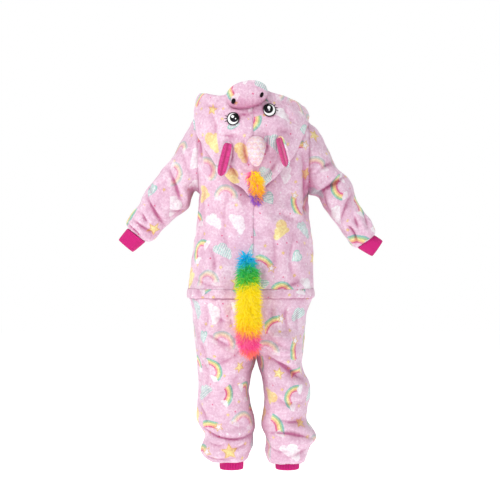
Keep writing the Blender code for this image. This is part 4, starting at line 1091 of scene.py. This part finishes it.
for side, look, tilt in (("left", 1, 0.0), ("right", -1, -18.0)):
    low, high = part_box(f"eye_{side}")
    half = ((high.x - low.x) * 500, (high.z - low.z) * 500)
    stuffed(f"eye_{side}", eye_finish(f"eye_stitches_{side}", (low + high) / 2, half, tilt, look),
            "eye_embroidery")
    f = thread(f"nostril_stitches_{side}", srgb(18, 12, 15), roughness=0.55)
    x, _, z = f.split(f.place())
    ridges = ridges_along(f, (x + z * 0.2) * 1000.0)
    # painted highlight and shade: the tops of the satin ridges are lighter, the gaps between them darker
    colour = f.mix(ridges, srgb(8, 5, 7), srgb(26, 18, 22))
    satin = f.wear(Base_Color=colour, Normal=f.bump(ridges, 0.0003, 0.7))
    stuffed(f"nostril_{side}", satin, "black_embroidery")

# %% [markdown]
# Three short lashes are stitched at the outer side of each eye. Each is a thin cone that lies on the
# hood: a ray sent at the hood finds its surface under the lash.

# %% Lashes
LASH_LENGTH, LASH_WIDTH = 0.0075, 0.0024
hood_skin = ray_target([cloth[f"hood_{side}"]["thing"] for side in SIDES_OF_BODY])
lashes = bmesh.new()
for side, sign, rises in (("left", -1, (24, 4, -16)), ("right", 1, (44, 22, 2))):
    low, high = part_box(f"eye_{side}")
    half = (high - low) / 2
    for rise in rises:
        way = Vector((sign * math.cos(math.radians(rise)), 0, math.sin(math.radians(rise))))
        rim = (low + high) / 2 + Vector((way.x * half.x, 0, way.z * half.z)) * 0.97
        place, normal, _, _ = hood_skin.ray_cast(Vector((rim.x, -1, rim.z)), Vector((0, 1, 0)))
        along = (way - normal * way.dot(normal)).normalized()
        inward = normal if normal.y > 0 else -normal
        matrix = along.to_track_quat("Z", "Y").to_matrix().to_4x4()
        matrix.translation = place + along * LASH_LENGTH * 0.4 - inward * 0.0006
        bmesh.ops.create_cone(lashes, segments=6, radius1=LASH_WIDTH / 2, radius2=LASH_WIDTH / 8,
                              depth=LASH_LENGTH, cap_ends=True, matrix=matrix)
f = thread("lash_stitches", srgb(14, 10, 12))
grain = f.noise(f.place(), 2400.0, 1.0)
lash_satin = f.wear(Base_Color=f.mix(grain, srgb(6, 4, 6), srgb(24, 18, 22)))
stitched = add_object("lashes", lashes, lash_satin)
dress(stitched, "eye_embroidery")
print("lashes:", len(stitched.data.polygons), "faces")

# %% [markdown]
# ## Rib cuffs
# Wrists and ankles end in hot pink rib knit. The solids of the cuffs already have a few raised ribs; the
# finish adds the fine ones, drawn by the angle round each cuff's own line, with painted shade in the
# groove between two ribs and small loops of yarn along them.


# %% Rib knit round a line
EASE = 1.002  # a flat rectangle is a hair larger than the cloth on it


def state_double(thing, tall):
    """The width of a piece that is folded double, from half its surface."""
    area = sum(face.area for face in thing.data.polygons) / 2
    area / tall * EASE
    return area / tall


def rib_knit(name, centre, axis, count=46):
    f = Finish(name, srgb(226, 30, 136), roughness=0.85)
    first = axis.orthogonal().normalized()
    second = axis.cross(first)
    here = f.add("ShaderNodeVectorMath", {"operation": "SUBTRACT"}, s0=f.place(), s1=tuple(centre))

    def along(way):
        return f.add("ShaderNodeVectorMath", {"operation": "DOT_PRODUCT"}, output=1, s0=here, s1=tuple(way))

    angle = f.sum("ARCTAN2", along(first), along(second))
    rib = f.sum("SINE", angle * float(count)) * 0.5 + 0.5
    loops = f.sum("SINE", along(axis) * 3600.0) * 0.5 + 0.5
    yarn = f.noise(f.place(), 900.0, 2.0)
    height = rib + loops * rib * 0.25 + yarn * 0.25
    # painted shade: darker in the grooves between the ribs, mixed with the yarn's own colour at random
    lie = f.clamp(rib * 0.8 + (yarn - 0.5) * 0.9 + 0.1)
    colour = f.mix(lie, srgb(186, 0, 96), srgb(242, 36, 152))
    return f.wear(Base_Color=colour, Normal=f.bump(height, 0.0012, 0.9))


for side, sign in (("left", -1), ("right", 1)):
    for kind, way in (("wrist", (sign * 0.62, 0, -0.78)), ("ankle", (0, 0, -1))):
        axis = Vector(way).normalized()
        name = f"{kind}_cuff_{side}"
        low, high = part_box(name)
        centre = (low + high) / 2
        cuff = stuffed(name, rib_knit(f"rib_{name}", centre, axis), "hot_pink_rib")
        reach = (points_of(cuff.data) - np.array(centre)) @ np.array(axis)
        tall = float(reach.max() - reach.min())
        ring = state_double(cuff, tall)
        print(f"{name}: ring of {ring:.3f} m, {tall:.3f} m tall")

# %% [markdown]
# ## The drop seat's band
# A strip of the same cloth, folded lengthwise, covers the seam of the drop seat from side seam to side
# seam. Its solid is a bent strip with a rounded section, so it is only smoothed and puckered.

# %% Band over the seat seam
BAND_LENGTH = 0.42
band = stuffed("drop_seat_band", printed, "print_fleece", shift=0.07)
mesh = band.data
places = points_of(mesh)
stitches = np.sin(places[:, 0] * 520 + 2 * np.sin(places[:, 0] * 90))
pucker = stitches * 0.0003 + soft_lumps(places, 0.03, 4) * 0.0006
put_points(mesh, places + normals_of(mesh) * pucker[:, None])
# painted shade: the hollows of the puckers get a deeper pink, and the whole band a little
note(mesh, "valley", np.clip(0.1 - pucker * 200, 0, 1))
width = state_double(band, BAND_LENGTH)
print(f"band: {width:.4f} m wide in one layer")

# %% [markdown]
# ## Long fur
# The mane and the tail are fur fabric with pile of two to three centimetres. A lock is a narrow curved
# cone that starts under the solid's surface and ends at it, leaning down and curling a little; some
# thousands of them are joined in one mesh. Each point of a lock carries two numbers: where it lies in
# the order of the dyed bands, and how light it is: lighter or darker at random from lock to lock, with
# painted shade at the root and on the core, and a painted highlight on the lightest tips.

# %% Locks of fur
STATIONS, SIDES = 5, 3
# the strength of a painted glow of the fur
FUR_GLOW = 0.13  # light that comes through the thin pile


def surface_samples(bm, count, rng):
    """Places and outward directions, spread evenly over a mesh."""
    faces = bm.faces[:]
    areas = np.array([face.calc_area() for face in faces])
    picks = rng.choice(len(faces), size=count, p=areas / areas.sum())
    corners = np.array([[vert.co for vert in face.verts] for face in faces])
    a, b = rng.random(count), rng.random(count)
    a, b = np.where(a + b > 1, 1 - a, a), np.where(a + b > 1, 1 - b, b)
    first, second, third = (corners[picks, index] for index in range(3))
    places = first + (second - first) * a[:, None] + (third - first) * b[:, None]
    outward = np.array([face.normal for face in faces])[picks]
    return places, outward


def comb(name, node, count, length, width, depth, lean, curl, seed, bands, slot, finish):
    """A mesh of locks over a solid, with a plain core under them.

    A lock leans outward, downward and at random by the three numbers of lean.
    """
    rng = np.random.default_rng(seed)
    bm = whole_copy(node)
    bmesh.ops.triangulate(bm, faces=bm.faces)
    for _ in range(6):
        bmesh.ops.smooth_vert(bm, verts=bm.verts, factor=0.5, use_axis_x=True, use_axis_y=True,
                              use_axis_z=True)
    bm.normal_update()
    places, outward = surface_samples(bm, count, rng)
    roots = places - outward * (depth * rng.uniform(0.75, 1.25, count))[:, None]
    ways = outward * lean[0] + np.array([0, 0, -1.0]) * lean[1] + rng.normal(size=(count, 3)) * lean[2]
    ways /= np.linalg.norm(ways, axis=1)[:, None]
    bend = np.cross(ways, rng.normal(size=(count, 3)))
    bend /= np.linalg.norm(bend, axis=1)[:, None]
    other = np.cross(ways, bend)
    reach = length * rng.uniform(0.65, 1.2, count)
    phase = rng.uniform(0, 6.3, count)
    twist = rng.uniform(3.0, 6.5, count)
    thick = width * rng.uniform(0.7, 1.3, count)
    rings = []
    for part in np.arange(STATIONS) / (STATIONS - 1):
        swing, wind = curl * reach * part, phase + twist * part
        middle = (roots + ways * (reach * part)[:, None] + bend * (swing * np.sin(wind))[:, None]
                  + other * (swing * np.cos(wind))[:, None])
        middle[:, 2] -= 0.12 * reach * part ** 2
        size = thick * (0.62 + 0.5 * math.sin(math.pi * min(part * 1.15, 1)) - 0.55 * part ** 2) * 0.5
        for turn in 2 * math.pi * np.arange(SIDES) / SIDES:
            rings.append(middle + (bend * math.cos(turn) + other * math.sin(turn)) * size[:, None])
    points = np.stack(rings, axis=1).reshape(-1, 3)
    starts = [(station * SIDES + index, station * SIDES + (index + 1) % SIDES)
              for station in range(STATIONS - 1) for index in range(SIDES)]
    faces = np.array([(a, b, b + SIDES, a + SIDES) for a, b in starts])
    each = STATIONS * SIDES
    every = (faces[None] + (np.arange(count) * each)[:, None, None]).reshape(-1, 4)
    mesh = bpy.data.meshes.new(name)
    mesh.from_pydata(points.tolist(), [], every.tolist())
    mesh.shade_smooth()
    note(mesh, "band", np.repeat(bands(roots, rng), each))
    # painted shade at the root: each lock gets lighter towards its tip, over a lighter or darker colour at
    # random from lock to lock
    lighter = 0.55 * np.tile(np.repeat(np.arange(STATIONS) / (STATIONS - 1), SIDES), count)
    note(mesh, "tone", np.clip(np.repeat(rng.normal(0.0, 0.15, count), each) + 0.5 + lighter, 0, 1))
    mesh.materials.append(finish)
    locks = bpy.data.objects.new(name, mesh)
    bpy.context.collection.objects.link(locks)
    for vert in bm.verts:
        vert.co -= vert.normal * depth * 0.8
    core = add_object(name + "_core", bm, finish)
    places = points_of(core.data)
    note(core.data, "band", bands(places, rng))
    # the core is painted dark, as shade deep in the pile
    note(core.data, "tone", np.full(len(places), 0.3))
    dress(locks, slot)
    dress(core, slot, node)
    print(f"{name}: {count} locks, {len(every) * 2} triangles")


def fur_finish(name, dyes):
    """Pile dyed in bands; a row is a place from 0 to 1 and its colour."""
    stops = [(place, srgb(*colour)) for place, *colour in dyes]
    f = Finish(name, stops[0][1], roughness=0.7)
    tone = f.noted("tone")
    dyed = f.add("ShaderNodeValToRGB", {"stops": stops}, Fac=f.noted("band"))
    # painted shade: darker where the number is low, at a lock's root and on the core
    colour = f.mix(f.clamp(tone * 1.15), f.mix(0.45, dyed, dyed, "MULTIPLY"), dyed)
    # painted highlight: the lightest tips turn paler
    colour = f.mix(f.clamp((tone - 0.9) * 0.7), colour, srgb(255, 252, 225))
    # painted glow: the fur gives off its own colour as light, in place of light that comes through the thin
    # pile
    f.feed(f.shader.inputs["Emission Strength"], FUR_GLOW)
    return f.wear(Base_Color=colour, Emission_Color=colour)


# %% [markdown]
# The tail is dyed in rainbow order from the top: blue, green, a long yellow stretch, pink, coral and a
# purple tip. The borders between two dyes slope a little and are ragged, because the pile overlaps.

# %% The tail
TAIL_DYES = ((0.0, 70, 150, 250), (0.05, 0, 190, 246), (0.13, 10, 196, 226), (0.17, 40, 196, 96),
             (0.27, 84, 206, 60), (0.32, 255, 236, 10), (0.62, 255, 232, 6), (0.70, 255, 196, 40),
             (0.745, 250, 110, 160), (0.83, 250, 80, 170), (0.87, 255, 130, 110), (0.93, 255, 120, 120),
             (0.96, 180, 100, 220), (1.0, 150, 90, 215))
tail_low, tail_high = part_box("tail")
TAIL_MIDDLE = (tail_low.x + tail_high.x) / 2


def tail_bands(places, rng):
    z = places[:, 2] * 1000
    aside = (places[:, 0] - TAIL_MIDDLE) * 1000
    slope = np.interp(z, [-620, -585, -471, -430], [0.15, 0.5, -0.6, -0.2])
    height = z + slope * aside * 0.8 + rng.normal(0, 3.5, len(z))
    band = np.interp(-height, [393, 672], [0.0, 1.0])
    left_blue = (aside < -16) & (z > -455)
    return np.where(left_blue, band * 0.35, band)


comb("tail_fur", "tail", count=5200, length=0.027, width=0.0034, depth=0.009, lean=(0.85, 0.85, 0.42),
     curl=0.15, seed=3, bands=tail_bands, slot="yellow_fur", finish=fur_finish("rainbow_fur", TAIL_DYES))

# %% [markdown]
# The mane is a short tuft under the horn: yellow at the top, orange below, with a pink fringe at the
# left that turns purple at the lower edge.

# %% The mane
MANE_DYES = ((0.0, 140, 84, 200), (0.14, 176, 84, 204), (0.2, 246, 96, 176), (0.34, 255, 120, 150),
             (0.42, 255, 146, 56), (0.62, 255, 168, 30), (0.78, 255, 200, 30), (1.0, 255, 224, 40))
mane_low, mane_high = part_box("mane")
MANE_MIDDLE = (mane_low.x + mane_high.x) / 2


def mane_bands(places, rng):
    down = (mane_high.z - places[:, 2]) / (mane_high.z - mane_low.z)
    aside = (places[:, 0] - MANE_MIDDLE) / (mane_high.x - mane_low.x) + rng.normal(0, 0.05, len(down))
    warm = np.interp(down, [0.0, 0.1, 0.5, 0.8], [0.9, 1.0, 0.8, 0.5])
    cool = np.interp(down, [0.0, 0.45, 0.65], [0.28, 0.2, 0.05])
    edge = np.interp(down, [0.0, 0.15, 0.55, 1.0], [0.08, -0.15, -0.05, 0.36])
    return np.clip(np.where(aside > edge, warm, cool) + rng.normal(0, 0.03, len(down)), 0, 1)


comb("mane_fur", "mane", count=2200, length=0.022, width=0.0032, depth=0.008, lean=(0.5, 0.9, 0.34),
     curl=0.15, seed=5, bands=mane_bands, slot="orange_fur", finish=fur_finish("warm_fur", MANE_DYES))

# %% [markdown]
# ## The zip
# The front closes with a moulded zip: two rows of teeth that mesh, on a woven tape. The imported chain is
# a plain strip. Rays shot back at it find its middle line, and a bevelled tooth is set across it every
# two and a half millimetres, left and right in turn.

# %% Teeth and tape
TOOTH_STEP = 0.0025
TOOTH_SIZE = (0.0040, 0.0014, 0.0011)


def zip_middle():
    """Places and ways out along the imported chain, from the neck down."""
    bm = whole_copy("zip_chain")
    tree = BVHTree.FromBMesh(bm)
    low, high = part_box("zip_chain")
    bm.free()
    line, z = [], high.z - 0.002
    while z > low.z + 0.004:
        place, normal, _, _ = tree.ray_cast(Vector(((low.x + high.x) / 2, 1, z)), Vector((0, -1, 0)))
        if place:
            line.append((place, normal))
            z -= TOOTH_STEP * max(abs(normal.y), 0.3)
        else:
            z -= 0.001
    return line


line = zip_middle()
tooth = bmesh.new()
bmesh.ops.create_cube(tooth, size=1)
bmesh.ops.scale(tooth, vec=TOOTH_SIZE, verts=tooth.verts)
bmesh.ops.bevel(tooth, geom=tooth.edges[:], offset=0.00025, segments=1, profile=0.5, affect="EDGES",
                material=-1)
tooth_mesh = bpy.data.meshes.new("tooth")
tooth.to_mesh(tooth_mesh)
tooth.free()
chain = bmesh.new()
for index, (place, normal) in enumerate(line):
    before = set(chain.verts)
    chain.from_mesh(tooth_mesh)
    fresh = [vert for vert in chain.verts if vert not in before]
    sign = 1 if index % 2 else -1
    out_way = Vector((0, normal.y, normal.z)).normalized()
    turn = Matrix((Vector((1, 0, 0)), out_way, Vector((1, 0, 0)).cross(out_way))).transposed().to_4x4()
    turn.translation = place + out_way * 0.0003 + Vector((sign * 0.0009, 0, 0))
    bmesh.ops.transform(chain, matrix=turn, verts=fresh)
bpy.data.meshes.remove(tooth_mesh)
f = Finish("zip_teeth_pink", srgb(226, 120, 180), roughness=0.35)
grain = f.noise(f.place(), 900.0, 2.0)
colour = f.mix(grain, srgb(214, 104, 168), srgb(238, 140, 194))
teeth_pink = f.wear(Base_Color=colour, Roughness=grain * 0.2 + 0.3)
teeth = add_object("zip_teeth", chain, teeth_pink, smooth=False)
dress(teeth, "zip_tape")
print("teeth:", len(line), "faces:", len(teeth.data.polygons))

# %% [markdown]
# The tape, the slider and the pull keep their solids, which have the form already, and only get their
# finishes: a fine weave for the tape and plated die-cast metal for the other two.


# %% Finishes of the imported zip
def woven_tape(name):
    f = Finish(name, srgb(222, 120, 178), roughness=0.85, sheen=0.2)
    x, _, z = f.split(f.place())
    weave = f.sum("SINE", (x + z) * 5200.0) * 0.25 + f.sum("SINE", (x - z) * 5200.0) * 0.25 + 0.5
    # painted shade and highlight: the weave's low threads darker, its high threads lighter
    colour = f.mix(weave, srgb(196, 92, 154), srgb(236, 148, 196))
    return f.wear(Base_Color=colour, Normal=f.bump(weave, 0.0003, 0.8))


def die_cast(name):
    f = Finish(name, srgb(205, 205, 210), roughness=0.3, metallic=1.0)
    worn = f.noise(f.place(), 240.0, 3.0)
    fine = f.noise(f.place(), 1400.0, 2.0)
    colour = f.mix(worn, srgb(180, 180, 186), srgb(222, 222, 226))
    return f.wear(Base_Color=colour, Roughness=worn * 0.3 + 0.18, Normal=f.bump(fine, 0.0001, 0.3))


tape, metal = woven_tape("zip_tape_weave"), die_cast("plated_metal")
for name, finish in (("zip_chain", tape), ("zip_slider", metal), ("zip_pull", metal)):
    for material_slot in nodes[name].material_slots:
        material_slot.link = "OBJECT"
        material_slot.material = finish

# %% [markdown]
# ## Painted deep pink shade in the hollows
# Where pile faces pile, less light reaches it and light bounces between pink fibres, so the cloth looks a
# deeper pink. That shade is painted into the colour here: rays sent from each point over a short distance
# tell how closed in it is, and the number is added to the one that paints shade into the creases. It is
# kept on the cloth's points, so it stays the same from any side.

# %% How closed in each point is
RAY_LENGTH, RAY_COUNT, DEEPEST = 0.075, 14, 0.85
soft = [thing for thing in bpy.data.objects if thing.name.startswith(("cloth_", "soft_"))]
cores = [thing for thing in bpy.data.objects if thing.name.endswith("_core")]
everything = ray_target(soft + cores)
spread = np.random.default_rng(2).normal(size=(RAY_COUNT, 3))
spread /= np.linalg.norm(spread, axis=1)[:, None]
rays = [Vector(way) for way in spread]
for thing in soft:
    mesh = thing.data
    closed = np.zeros(len(mesh.vertices))
    for index, (place, normal) in enumerate(zip(points_of(mesh), normals_of(mesh))):
        normal = Vector(normal)
        start = Vector(place) + normal * 0.0008
        for ray in rays:
            way = (normal * 1.02 + ray).normalized()
            _, _, _, depth = everything.ray_cast(start, way, RAY_LENGTH)
            if depth is not None:
                closed[index] += 1 - 0.6 * depth / RAY_LENGTH
    closed /= RAY_COUNT
    values = np.zeros(len(closed), np.float32)
    if thing.name.startswith("cloth_"):
        values = cloth[thing.name.removeprefix("cloth_")]["valley"] * 0.75
    elif "valley" in mesh.attributes:
        mesh.attributes["valley"].data.foreach_get("value", values)
        mesh.attributes.remove(mesh.attributes["valley"])
    # painted shade: the closed-in share is added to the painted shade of the creases, up to DEEPEST
    note(mesh, "valley", np.clip(values + 1.25 * np.clip(closed - 0.06, 0, 1), 0, DEEPEST))
for piece in cloth.values():
    wall = piece["thing"].modifiers.new("wall", "SOLIDIFY")
    wall.thickness, wall.offset = WALL, -1
print("points looked at:", sum(len(thing.data.vertices) for thing in soft))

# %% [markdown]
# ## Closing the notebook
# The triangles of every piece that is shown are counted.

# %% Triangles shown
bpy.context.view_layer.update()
graph = bpy.context.evaluated_depsgraph_get()
shown = [thing for thing in bpy.data.objects if thing.type == "MESH" and not thing.hide_render]
total = sum(len(face.vertices) - 2 for thing in shown for face in thing.evaluated_get(graph).data.polygons)
